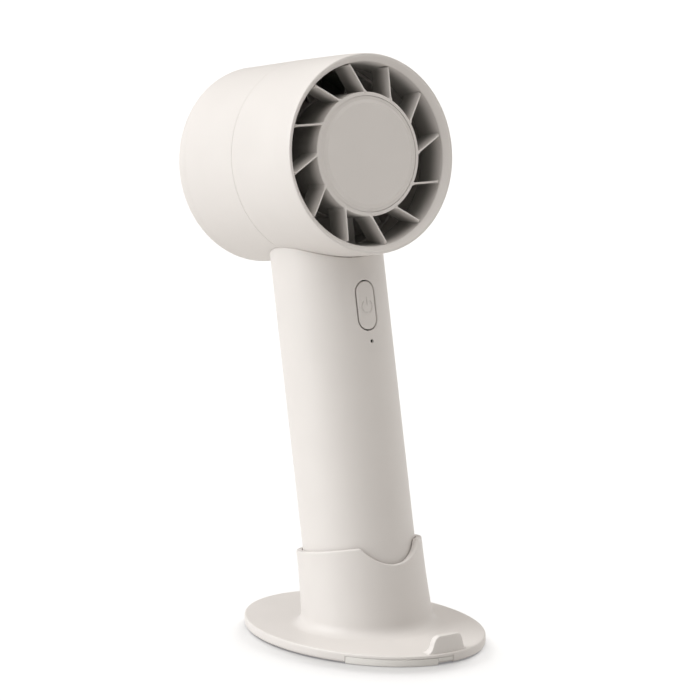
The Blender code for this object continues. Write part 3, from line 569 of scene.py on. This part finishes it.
def handle():
    columns = 120
    step = 2 * math.pi * HANDLE_R / columns
    half_turn = columns // 2
    button_rows = [BUTTON_S - BUTTON_PATCH + k for k in range(2 * BUTTON_PATCH + 1)]
    led_rows = [LED_S - LED_PATCH + LED_PATCH / 2 * k for k in range(5)]
    plain_rows = [11.9, 12.4, *[13.0 + 4 * k for k in range(22)], 98.9, 127.6, 129.4]
    rows = sorted({*plain_rows, *led_rows, *button_rows})
    rows = [r for r in rows if abs(r - LED_S) >= LED_PATCH or r in led_rows]
    usb_rows = [r for r in rows if abs(r - USB_S) < USB_PATCH]

    # columns, rows, outline and blend width of each opening; the rows are rows of the grid
    button_pill = pill_of(BUTTON_HALF, BUTTON_R + BUTTON_CLEAR, BUTTON_TURN * HANDLE_R, BUTTON_S)
    led_pill = pill_of(0.0, LED_R, LED_TURN * HANDLE_R, LED_S)
    usb_pill = pill_of(USB_HALF, USB_R, step * half_turn, USB_S, upright=False)
    openings = [
        ([step * k for k in range(-8, 9)], button_rows, button_pill, 1.0),
        ([step * k for k in range(-1, 4)], led_rows, led_pill, 0.35),
        ([step * (half_turn + k) for k in range(-7, 8)], usb_rows, usb_pill, 1.0),
    ]

    def at(r, u, s):
        t = u / HANDLE_R
        return (r * math.sin(t), -r * math.cos(t), s)

    def end_s(t, clear):
        """Height at which the handle's wall meets the drum, with a clearance."""
        return HEAD_S - math.sqrt((DRUM_R + clear) ** 2 - (HANDLE_R * math.sin(t)) ** 2)

    verts, faces, index = [], [], {}

    def put(key, p):
        if key not in index:
            index[key] = len(verts)
            verts.append(p)
        return index[key]

    def inside(i, j):
        for cols, span, _, _ in openings:
            first = round(cols[0] / step) % columns
            if (i - first) % columns < len(cols) - 1 and span[0] <= rows[j] < span[-1] - 1e-9:
                return True
        return False

    for side, r in (("out", HANDLE_R), ("in", HANDLE_BORE_R)):
        for j in range(len(rows) - 1):
            for i in range(columns):
                if not inside(i, j):
                    m = (i + 1) % columns
                    quad = [(i, j), (m, j), (m, j + 1), (i, j + 1)]
                    faces.append(
                        tuple(put((side, a, b), at(r, step * a, rows[b])) for a, b in quad)
                    )

    def boundary(side, loop):
        return [index[side, round(u / step) % columns, rows.index(s)] for u, s in loop]

    for number, (cols, span, outline, width) in enumerate(openings):
        loop, lip = patch_loop(cols, span), OPENING_LIP
        # (offset, drop) points that lead over the rounded lip and down into the wall
        profile = [(0.9 * width, 0.0), (0.45 * width + lip * 0.5, 0.0)]
        for k in range(5):
            a = math.pi / 8 * k
            profile.append((lip * (1 - math.sin(a)), lip * (1 - math.cos(a))))
        profile += [(0.0, 0.9), (0.0, HANDLE_R - HANDLE_BORE_R)]
        chain = [boundary("out", loop)]
        for k, (offset, drop) in enumerate(profile):
            line = [at(HANDLE_R - drop, *outline(u, s, offset)) for u, s in loop]
            chain.append([put((number, k, m), p) for m, p in enumerate(line)])
        chain.append(boundary("in", loop))
        for a, b in zip(chain, chain[1:]):
            for k in range(len(a)):
                m = (k + 1) % len(a)
                faces.append((a[k], b[k], b[m], a[m]))

    # ends: a rounded foot below, and the saddle that meets the drum above
    def ring(key, r, s_of):
        return [
            put((key, i), at(r, step * i, s_of(step * i / HANDLE_R))) for i in range(columns)
        ]

    def grid_ring(side, j):
        return [index[side, i, j] for i in range(columns)]

    def bands(chain):
        for a, b in zip(chain, chain[1:]):
            for i in range(columns):
                m = (i + 1) % columns
                faces.append((a[i], a[m], b[m], b[i]))

    def part_way(w, s_of):
        """Heights that lie the share w of the way from the grid's last row to s_of."""
        return lambda t: rows[-1] * (1 - w) + s_of(t) * w

    foot = [(HANDLE_R, 11.8), (HANDLE_R, HANDLE_LOW_S, 0.3)]
    foot += [(HANDLE_BORE_R, HANDLE_LOW_S, 0.1), (HANDLE_BORE_R, 11.8)]
    low = [ring(("foot", k), r, lambda t, s=s: s) for k, (r, s) in enumerate(rounded(foot))]
    bands([grid_ring("out", 0)] + low + [grid_ring("in", 0)])
    last, high = len(rows) - 1, []
    for k in range(1, 5):
        heights = part_way(k / 5, lambda t: end_s(t, 0.5) - 0.3)
        high.append(ring(("rise", k), HANDLE_R, heights))
    lips = [(0.0, 0.6), (0.03, 0.42), (0.12, 0.26), (0.3, 0.14), (0.6, 0.1)]
    for k, (inset, clear) in enumerate(lips):
        high.append(ring(("lip", k), HANDLE_R - inset, lambda t, clear=clear: end_s(t, clear)))
    high.append(ring("bore_end", HANDLE_BORE_R, lambda t: end_s(t, 0.1)))
    for k in range(1, 4):
        heights = part_way(1 - k / 4, lambda t: end_s(t, 0.1))
        high.append(ring(("fall", k), HANDLE_BORE_R, heights))
    bands([grid_ring("out", last)] + high + [grid_ring("in", last)])
    build("handle_body", verts, faces, FAN, "white_shell", "fan", ["handle_shell"], angle=40)

    plug = [(0, PLUG_LOW_S), (17.9, PLUG_LOW_S, 1.0)]
    plug += [(PLUG_RIM_R, 10.0, 0.8), (PLUG_RIM_R, PLUG_RIM_S, 0.1)]
    plug += [(PLUG_R, PLUG_RIM_S), (PLUG_R, PLUG_TOP_S, 0.3), (PLUG_BORE_R, PLUG_TOP_S, 0.3)]
    plug += [(PLUG_BORE_R, PLUG_FLOOR_S), (0, PLUG_FLOOR_S)]
    build("handle_foot", *lathe(plug, 160), FAN, "white_shell", "fan", ["handle_end_cap"])

    # lamp window and its light guide
    guide = [(0, -19.2), (0.35, -19.15, 0.1), (GUIDE_TIP_R, -18.9, 0.1)]
    guide += [(GUIDE_TIP_R, GUIDE_STEP, 0.1), (GUIDE_R, GUIDE_STEP, 0.1)]
    guide += [(GUIDE_R, GUIDE_BACK, 0.1), (0, GUIDE_BACK)]
    guide = lathe(guide, 32, y=-LED_S)
    build("lamp_window", *guide, turned(LED_TURN), "lens_dark", "fan", ["led_light_pipe"])

    # charging socket: a steel sleeve with a contact tongue
    section = [(SOCKET_R, SOCKET_BACK, 0.2), (SOCKET_R, SOCKET_MOUTH, 0.12)]
    section += [(SOCKET_BORE_R, SOCKET_MOUTH, 0.08), (SOCKET_BORE_R, SOCKET_FLOOR, 0.1)]
    rings = []
    for r, a in rounded(section, steps=3):
        pill = [
            onto_pill(6 * math.cos(t), 3 * math.sin(t), USB_HALF, r, upright=False)
            for t in turns(72)
        ]
        rings.append([(x, y - USB_S, a) for x, y in pill])
    build("socket_sleeve", *bar(rings), FACE, "steel", "fan", ["usb_socket"])
    rings = []
    tip = [(0.0, SOCKET_FLOOR), (0.0, TONGUE_TIP, 0.3), (0.3, TONGUE_TIP)]
    for inset, a in rounded(tip, steps=3):
        w, h = TONGUE_HALF_W - inset, TONGUE_HALF_T - inset * 0.5
        box = [(-w, -h, 0.12), (w, -h, 0.12), (w, h, 0.12), (-w, h, 0.12)]
        rings.append([(x, y - USB_S, a) for x, y in rounded(box, closed=True, steps=3)])
    build("socket_tongue", *bar(rings), FACE, "dark_plastic", "fan")


def icon_depth(u, v):
    """Depth of the engraved power sign at (u, v) from the button's middle, v upwards."""
    turn = abs(math.atan2(u, v + ICON_DROP))
    ring = abs(math.hypot(u, v + ICON_DROP) - ICON_R) if turn > ICON_OPEN else math.inf
    stroke = math.hypot(u, max(v - ICON_BAR_TOP, ICON_BAR_LOW - v, 0))
    w = max(0.0, min(1.0, (ICON_STROKE + 0.12 - min(ring, stroke)) / 0.16))
    return ICON_DEPTH * w * w * (3 - 2 * w)


def button():
    around, inner_rings = 240, 44
    loop = [(9 * math.sin(t), 11 * math.cos(t)) for t in turns(around)]

    def ring(r, depth, engraved=False):
        out = []
        for u, v in loop:
            pu, pv = onto_pill(u, v, BUTTON_HALF, r)
            t = pu / HANDLE_R
            d = depth + (icon_depth(pu, pv) if engraved else 0.0)
            out.append(((HANDLE_R - d) * math.sin(t), -pv, -(HANDLE_R - d) * math.cos(t)))
        return out

    rings = [[(0, 0, BUTTON_BACK)], ring(BUTTON_R, 4.2), ring(BUTTON_R, 1.0)]
    for k in range(6):
        a = math.pi / 2 * k / 5
        inset, drop = BUTTON_SOFT * (1 - math.cos(a)), BUTTON_SOFT * (1 - math.sin(a))
        rings.append(ring(BUTTON_R - inset, BUTTON_SUNK + drop))
    for k in range(1, inner_rings):
        w = k / inner_rings
        dome = 0.01 * math.sin(math.pi * w)
        rings.append(ring((BUTTON_R - BUTTON_SOFT) * (1 - w), BUTTON_SUNK - dome, engraved=True))
    verts, faces = skin(rings)
    # close the seam along the spine by zipping the two sides together
    base, half = len(verts) - around, around // 2
    for k in range(1, half - 1):
        a, b = base + k, base + around - k
        faces.append((a, a + 1, b - 1, b))
    faces.append((base, base + 1, base + around - 1))
    faces.append((base + half, base + half + 1, base + half - 1))
    build("power_pill", verts, faces, BUTTON, "white_shell", "button", ["power_button"], angle=60)


# ---------------------------------------------------------------- head


def screw_places():
    """Name, turn and middle (x, y) of the three cover screws."""
    for name, degrees in (("top", 0), ("right", 120), ("left", 240)):
        t = math.radians(degrees)
        yield name, t, SCREW_RING_R * math.sin(t), -SCREW_RING_R * math.cos(t)


def drum():
    n = 288
    front = [
        (DRUM_R - SEAM_CHAMFER, SEAM_A - SEAM_HALF),
        (DRUM_R, SEAM_A - SEAM_HALF - SEAM_CHAMFER),
        (DRUM_R, FRONT_A + 14.0),
        (DRUM_R, FRONT_A + 8.0, 20.0),
        (DRUM_R - 0.27, FRONT_A + 1.4, 2.0),
        (DRUM_R - 0.45, FRONT_A, 0.55),
        (DRUM_R - 1.3, FRONT_A, 0.7),
        (THROAT_R, VANE_FRONT_A + 0.3, 2.2),
        (THROAT_R, -29.95),
        (DRUM_BORE_R, -29.95),
        (DRUM_BORE_R, SEAM_A - SEAM_HALF),
        (DRUM_R - 0.9, SEAM_A - SEAM_HALF),
        (DRUM_R - 0.9, SEAM_A + LAP_A),
        (DRUM_R - 0.3, SEAM_A + LAP_A),
        (DRUM_R - 0.3, SEAM_A - SEAM_HALF),
    ]
    front = lathe(front, n, closed=True, steps=6)
    build("drum_front", *front, HEAD, "white_shell", "fan", ["front_shell"], angle=35)

    rear = [
        (REAR_R - SEAM_CHAMFER, COVER_A - SEAM_HALF),
        (REAR_R, COVER_A - SEAM_HALF - SEAM_CHAMFER),
        (DRUM_R, SEAM_A + SEAM_HALF + SEAM_CHAMFER),
        (DRUM_R - SEAM_CHAMFER, SEAM_A + SEAM_HALF),
        (DRUM_R - 0.25, SEAM_A + SEAM_HALF),
        (DRUM_R - 0.25, SEAM_A + LAP_A + 0.1),
        (DRUM_BORE_R, SEAM_A + LAP_A + 0.1),
        (DRUM_BORE_R, 13.0),
        (REAR_BORE_R, COVER_A - SEAM_HALF),
        (REAR_R - 0.9, COVER_A - SEAM_HALF),
        (REAR_R - 0.9, COVER_A + LAP_A),
        (REAR_R - 0.3, COVER_A + LAP_A),
        (REAR_R - 0.3, COVER_A - SEAM_HALF),
    ]
    boss = [(BOSS_BORE_R, 21), (BOSS_BORE_R, BOSS_TOP_A), (BOSS_R, BOSS_TOP_A, 0.2)]
    boss += [(BOSS_R, BOSS_LOW_A), (BOSS_BORE_R, 17.5)]
    rib = [(-RIB_HALF, RIB_IN_R), (RIB_HALF, RIB_IN_R), (RIB_HALF, RIB_OUT_R)]
    rib += [(-RIB_HALF, RIB_OUT_R)]
    parts = [lathe(rear, n, closed=True)]
    for _, t, x, y in screw_places():
        parts.append(lathe(boss, 40, closed=True, x=x, y=y))
        turn = Matrix.Rotation(t, 3, "Z")
        corners = [turn @ Vector((u, -v, 0)) for u, v in rib]
        parts.append(bar([[(p.x, p.y, a) for p in corners] for a in (BOSS_LOW_A, RIB_TOP_A)]))
    build("drum_rear", *merged(*parts), HEAD, "white_shell", "fan", ["rear_shell"], angle=35)


def rear_cover():
    # the rounding is drawn as a full arc, because rounded() would shrink it here
    cover = [(0, REAR_A)]
    for k in range(13):
        t = math.pi / 2 * k / 12
        out, back = REAR_ROUND * (1 - math.sin(t)), REAR_ROUND * (1 - math.cos(t))
        cover.append((REAR_R - out, REAR_A - back))
    cover += [
        (REAR_R - 0.1, COVER_A + SEAM_HALF),
        (REAR_R - 0.25, COVER_A + SEAM_HALF),
        (REAR_R - 0.25, COVER_A + LAP_A + 0.1),
        (REAR_BORE_R, COVER_A + LAP_A + 0.1),
        (REAR_BORE_R, COVER_INNER_A, 0.4),
        (0, COVER_INNER_A),
    ]
    cover = lathe(cover, 288)
    body = build("cover_rear", *cover, HEAD, "white_shell", "fan", ["rear_cover"], angle=35)

    parts = []
    for k in range(INTAKES):
        turn = Matrix.Rotation(2 * math.pi * k / INTAKES + INTAKE_TURN, 3, "Z")
        slot = []
        for t in turns(48):
            x, y = onto_pill(4 * math.sin(t), 9 * math.cos(t), INTAKE_HALF, INTAKE_R)
            slot.append(turn @ Vector((x, y + INTAKE_MIDDLE_R, 0)))
        parts.append(bar([[(p.x, p.y, a) for p in slot] for a in (CUT_FROM_A, CUT_TO_A)]))
    seat = [(0, 28), (BOSS_BORE_R, 28), (BOSS_BORE_R, SCREW_SEAT_A)]
    seat += [(SCREW_SEAT_R, SCREW_SEAT_A), (SCREW_SEAT_R, CUT_TO_A), (0, CUT_TO_A)]
    parts += [lathe(seat, 40, x=x, y=y) for _, _, x, y in screw_places()]
    cut = build("cut_intakes", *merged(*parts), HEAD, "white_shell", "fan")
    apply_boolean(body, cut, "DIFFERENCE")
    bevel = body.modifiers.new("soften", "BEVEL")
    bevel.width = 0.22 * MM
    bevel.segments = 3
    bevel.limit_method = "ANGLE"
    bevel.angle_limit = math.radians(50)
    bevel.harden_normals = False

    screw = [(0, SCREW_TIP_A), (0.7, SCREW_TIP_A, 0.2), (SCREW_R, SCREW_TIP_A + 0.6)]
    screw += [(SCREW_R, SCREW_HEAD_A), (SCREW_HEAD_R, SCREW_HEAD_A, 0.1)]
    screw += [(SCREW_HEAD_R, 36.0, 0.35), (1.0, SCREW_TOP_A, 0.5), (0, SCREW_TOP_A)]
    corners = ((-1, -1), (1, -1), (1, 1), (-1, 1))
    for name, _, x, y in screw_places():
        shape = lathe(screw, 40, x=x, y=y)
        node = "cover_screw_" + name
        head = build("screw_" + name, *shape, HEAD, "steel", "fan", [node])
        for w, h in ((1.25, 0.22), (0.22, 1.25)):
            low = [(x + a * w * 0.45, y + b * h * 0.8, CROSS_LOW_A) for a, b in corners]
            high = [(x + a * w, y + b * h, SCREW_TOP_A + 0.4) for a, b in corners]
            cross = build("cut_cross", *bar([low, high]), HEAD, "steel", "fan")
            apply_boolean(head, cross, "DIFFERENCE")

    screen = [(0, SCREEN_LOW_A), (SCREEN_R, SCREEN_LOW_A, 0.1), (SCREEN_R, SCREEN_TOP_A, 0.1)]
    screen = lathe(screen + [(0, SCREEN_TOP_A)], 96)
    build("screen_dust", *screen, HEAD, "dark_plastic", "fan", ["dust_screen"], look=SCREEN)


def vane(turn):
    """A straight vane from the hub to the throat, blended into both and thin at the front."""
    a, b = turn + VANE_ROOT, turn + VANE_TIP
    root = Vector((HUB_R * math.sin(a), -HUB_R * math.cos(a), 0))
    tip = Vector((THROAT_R * math.sin(b), -THROAT_R * math.cos(b), 0))
    along, reach = (tip - root).normalized(), (tip - root).length
    side = Vector((-along.y, along.x, 0))
    stations = [-0.9, -0.2, 0.15, 0.5, 1.0, 1.8, 3.0, 4.5, 6.0, 7.5]
    stations += [reach - 2.2, reach - 1.5, reach - 1.0, reach - 0.65, reach - 0.4]
    rings = []
    for u in stations:
        to_end = reach - 0.4 - u
        flare = VANE_FLARE * max(0.0, 1 - max(u, 0) / 1.2) ** 2
        flare += VANE_FLARE * max(0.0, 1 - to_end / 1.2) ** 2
        front = VANE_FRONT_A + 0.55 * max(0.0, 1 - to_end / 1.6) ** 2
        back = VANE_BACK_A - (0.9 if u > reach - 0.5 else 0.0)
        thin, thick = VANE_THIN + flare, VANE_THICK + flare
        section = []
        for m in range(9):
            w = math.pi * m / 8
            section.append((-thin * math.cos(w), front + VANE_ROUND * (1 - math.sin(w))))
        flank = []
        for q in (0.3, 0.65, 1.0):
            depth = front + VANE_ROUND + (back - front - VANE_ROUND) * q
            flank.append((thin + (thick - thin) * q, depth))
        section += flank + [(-w, z) for w, z in reversed(flank)]
        rings.append([tuple(root + along * u + side * w + Vector((0, 0, z))) for w, z in section])
    return bar(rings)


def grille():
    n = 240
    ring = [(GRILLE_R, GRILLE_FRONT_A), (THROAT_R, GRILLE_FRONT_A), (30.0, VANE_BACK_A + 1.8, 0.2)]
    ring += [(31.4, VANE_BACK_A + 1.8), (GRILLE_R, VANE_BACK_A + 1.2)]
    hub = [
        (HUB_R, VANE_FRONT_A + 0.2, 0.4),
        (HUB_BORE_R, VANE_FRONT_A - 0.12, 0.04),
        (HUB_BORE_R, HUB_WEB_LOW_A),
        (HUB_WEB_R, HUB_WEB_LOW_A, 0.2),
        (HUB_WEB_R, HUB_WEB_TOP_A, 0.2),
        (HUB_BORE_R, HUB_WEB_TOP_A),
        (HUB_BORE_R, HUB_BACK_A, 0.3),
        (HUB_R - 0.2, HUB_BACK_A + 0.4, 0.3),
    ]
    parts = [lathe(ring, n, closed=True), lathe(hub, n, closed=True)]
    parts += [vane(turn) for turn in turns(VANES)]
    front = merged(*parts)
    # the grille's material carries painted shade that darkens the throat, hub and vanes towards the
    # back
    build("grille_front", *front, HEAD, "white_shell", "fan", ["front_grille"], 45, look=GRILLE_PAINTED_SHADE)

    # the middle disc: slightly domed, with a step and a fine gap round its edge
    disc = [(0, -32.15), (4, -32.148), (8, -32.14), (12, -32.13), (16, -32.11)]
    disc += [(DISC_FLAT_R, DISC_FRONT_A, 0.5), (DISC_STEP_R, DISC_EDGE_A, 0.4)]
    disc += [(HUB_BORE_R - DISC_GAP, DISC_EDGE_A, 0.06), (HUB_BORE_R - DISC_GAP, -30.6)]
    disc += [(HUB_BORE_R - GAP, -30.5), (HUB_BORE_R - GAP, DISC_BACK_A), (0, DISC_BACK_A)]
    build("hub_disc", *lathe(disc, n), HEAD, "white_shell", "fan", ["hub_cap"], angle=50)


def blade(turn):
    """A blade that twists along the axis and thins towards both edges."""
    depths = [BLADE_HALF_A * (k / 9 - 1) for k in range(19)]
    rings = []
    for k in range(11):
        r = BLADE_ROOT_R + (BLADE_TIP_R - BLADE_ROOT_R) * k / 10
        line = []
        for sign in (1, -1):
            for a in depths[::sign]:
                share = a / BLADE_HALF_A
                half = BLADE_HALF_T * (1 - share**6 * 0.75)
                swing = turn + a * BLADE_TWIST + share**2 * BLADE_BOW + sign * half / r
                line.append((r * math.sin(swing), -r * math.cos(swing), a))
        rings.append(line)
    return bar(rings)


def impeller():
    hub = [(SHAFT_R, WHEEL_FRONT_A), (WHEEL_HUB_R, WHEEL_FRONT_A, 0.6), (WHEEL_HUB_R, 6.0, 5.0)]
    hub = rounded(hub + [(15.5, 13.6, 6.0), (0, 16.2)], steps=8)
    hub = [[(0, 0, 0.0)], circle(SHAFT_R, 0.0, 120)] + [circle(r, a, 120) for r, a in hub]
    wheel = merged(skin(hub), *[blade(turn) for turn in turns(BLADES)])
    build("wheel", *wheel, HEAD, "dark_plastic", "rotor", ["impeller"], 50, look=INNER_DARK)
    duct = [(DUCT_BORE_R, DUCT_FRONT_A, 0.3), (DUCT_R, DUCT_FRONT_A, 0.3)]
    duct += [(DUCT_R, DUCT_BACK_A, 0.3), (DUCT_BORE_R, DUCT_BACK_A, 0.3)]
    duct = lathe(duct, 160, closed=True)
    build("duct", *duct, HEAD, "dark_plastic", "fan", ["duct_ring"], look=INNER_DARK)

    # a dark strut carries the motor leads across the air gap
    w, near, far = STRUT_HALF_W, STRUT_FRONT, STRUT_BACK
    section = [(-w, far, 0.5), (w, far, 0.5), (w, near, 0.5), (-w, near, 0.5)]
    section = rounded(section, closed=True)
    strut = bar([[(x, y, s) for x, y in section] for s in (STRUT_LOW_S, STRUT_TOP_S)])
    build("lead_strut", *strut, FAN, "dark_plastic", "fan", look=INNER_DARK)


stand()
handle()
button()
drum()
rear_cover()
grille()
impeller()

# CAD pieces that stay as they are take their finish from these slots
KEPT = {
    "steel": [
        "ballast_plate",
        "ballast_wedge",
        "cell_tab_low",
        "cell_tab_high",
        "board_screw_low",
        "board_screw_high",
        "tact_switch",
        "front_bearing",
        "rear_bearing",
        "rotor_can",
        "motor_shaft",
    ],
    "brass": ["bearing_tube"],
    "copper_wound": ["motor_stator"],
    "magnet": ["magnet_ring"],
    "cell_wrap": ["battery_cell"],
    "white_inner": ["cell_cradle"],
    "board_green": ["circuit_board", "charge_board"],
    "dark_plastic": ["controller_chip", "boost_inductor", "switch_plunger"],
    "led_clear": ["status_led"],
    "lead_red": ["motor_lead_red"],
    "lead_black": ["motor_lead_black"],
}
for slot, names in KEPT.items():
    for name in names:
        node = frame["nodes"][name]
        node.data.materials.clear()
        node.data.materials.append(LOOKS[slot])

# ---------------------------------------------------------------- floor and sky

FLOOR_R = 40.0  # metres
FLOOR_SEEN, FLOOR_LIT = (0.70, 0.70, 0.70), (0.66, 0.65, 0.63)
FLOOR_GLOW, FLOOR_GLOW_STRENGTH = (0.92, 0.94, 1.0), 0.13
SKY_LOW, SKY_HIGH = 0.09, 1.58
SKY_TINT, SKY_SEEN = (1.0, 0.975, 0.94), (1.0, 0.995, 0.985)


def plain_object(name, verts, faces, look):
    """An object in metres for the stage, which is not a piece of the fan."""
    mesh = bpy.data.meshes.new(name)
    mesh.from_pydata(verts, [], faces)
    mesh.materials.append(look)
    obj = bpy.data.objects.new(name, mesh)
    bpy.context.scene.collection.objects.link(obj)
    return obj


def paper():
    """The white paper. To the camera its tone differs a little from what the fan sees of it."""
    mat = bpy.data.materials.new("floor_paper")
    mat.use_nodes = True
    tree = mat.node_tree
    shader = tree.nodes["Principled BSDF"]
    shader.inputs["Roughness"].default_value = 0.9
    shader.inputs["Specular IOR Level"].default_value = 0.1
    path = tree.nodes.new("ShaderNodeLightPath")
    tone = mixed(tree, FLOOR_LIT, FLOOR_SEEN, path.outputs["Is Camera Ray"])
    tree.links.new(tone, shader.inputs["Base Color"])
    shader.inputs["Emission Color"].default_value = (*FLOOR_GLOW, 1)
    shader.inputs["Emission Strength"].default_value = FLOOR_GLOW_STRENGTH
    return mat


def studio():
    """A sky that brightens upwards, and an even white where the camera looks straight at it."""
    world = bpy.data.worlds.new("studio")
    world.use_nodes = True
    tree = world.node_tree
    new, link = tree.nodes.new, tree.links.new
    back = tree.nodes["Background"]
    back.inputs["Strength"].default_value = 1.0
    coords = new("ShaderNodeTexCoord")
    split = new("ShaderNodeSeparateXYZ")
    square = new("ShaderNodeMath")
    square.operation = "POWER"
    square.use_clamp = True
    square.inputs[1].default_value = 2.0
    sky = new("ShaderNodeMapRange")
    sky.inputs["To Min"].default_value = SKY_LOW
    sky.inputs["To Max"].default_value = SKY_HIGH
    seen = new("ShaderNodeLightPath")
    link(coords.outputs["Generated"], split.inputs["Vector"])
    link(split.outputs["Z"], square.inputs[0])
    link(square.outputs[0], sky.inputs["Value"])
    tinted = mixed(tree, sky.outputs["Result"], SKY_TINT, 1.0, blend="MULTIPLY")
    link(mixed(tree, tinted, SKY_SEEN, seen.outputs["Is Camera Ray"]), back.inputs["Color"])
    return world


floor = plain_object("floor", circle(FLOOR_R, 0.0, 96), [tuple(range(96))], paper())
bpy.context.scene.world = studio()

# ---------------------------------------------------------------- light and camera

CAMERA_BACK = Vector((-0.5765, -0.7936, 0.1947)).normalized()
CAMERA_AT = Vector((-0.90575, -1.23999, 0.4053))
CAMERA_ROLL = math.radians(-0.50)
FOCAL_PX, FRAME_PX, SENSOR = 4548.5, 700, 36.0
SLAB_INSET, SLAB_LOW, SLAB_TOP = 0.5, 0.8, 3.6


def group(name, members):
    made = bpy.data.collections.new(name)
    for member in members:
        made.objects.link(member)
    return made


def sun(name, swing, height, power, spread, colour, lit, blocked_by=None):
    """A broad soft lamp: swing is its turn round from the camera, to the right, in degrees."""
    flat = Vector((CAMERA_BACK.x, CAMERA_BACK.y, 0)).normalized()
    aside = Vector((-flat.y, flat.x, 0))
    a, e = math.radians(swing), math.radians(height)
    toward = (flat * math.cos(a) + aside * math.sin(a)) * math.cos(e)
    toward.z = math.sin(e)
    lamp = bpy.data.lights.new(name, "SUN")
    lamp.energy, lamp.angle, lamp.color = power, math.radians(spread), colour
    obj = bpy.data.objects.new(name, lamp)
    obj.rotation_mode = "QUATERNION"
    obj.rotation_quaternion = toward.to_track_quat("Z", "Y")
    obj.location = toward
    bpy.context.scene.collection.objects.link(obj)
    obj.light_linking.receiver_collection = group(name + "_lights", lit)
    if blocked_by:
        obj.light_linking.blocker_collection = group(name + "_shadows", blocked_by)


pieces = [o for o in bpy.data.objects if o.type == "MESH" and o is not floor and not o.hide_render]

# a plain slab hidden inside the plate casts the stand's soft shadow on the paper
slab_a, slab_b = PLATE_A - SLAB_INSET, PLATE_B - SLAB_INSET
slab_verts, slab_faces = bar([oval(slab_a, slab_b, z, 120) for z in (SLAB_LOW, SLAB_TOP)])
slab_verts = [tuple(c * MM for c in v) for v in slab_verts]
slab = plain_object("slab", slab_verts, slab_faces, LOOKS["white_shell"])

sun("key_left", -74, 28, 2.42, 52, (0.975, 0.99, 1.0), pieces)
sun("rim_right", 120, 25, 0.55, 60, (1.0, 0.98, 0.96), pieces)
for swing in (160, 200):
    sun("paper_%d" % swing, swing, 14, 2.9, 28, (1.0, 1.0, 1.0), [floor], [slab])

lens = bpy.data.cameras.new("view")
lens.sensor_width = SENSOR
lens.lens = FOCAL_PX / FRAME_PX * SENSOR
lens.clip_start, lens.clip_end = 0.05, 100.0
camera = bpy.data.objects.new("view", lens)
bpy.context.scene.collection.objects.link(camera)
camera.rotation_mode = "QUATERNION"
roll = Matrix.Rotation(CAMERA_ROLL, 4, "Z").to_quaternion()
camera.rotation_quaternion = CAMERA_BACK.to_track_quat("Z", "Y") @ roll
camera.location = CAMERA_AT
bpy.context.scene.camera = camera
bpy.context.scene.view_settings.view_transform = "Standard"
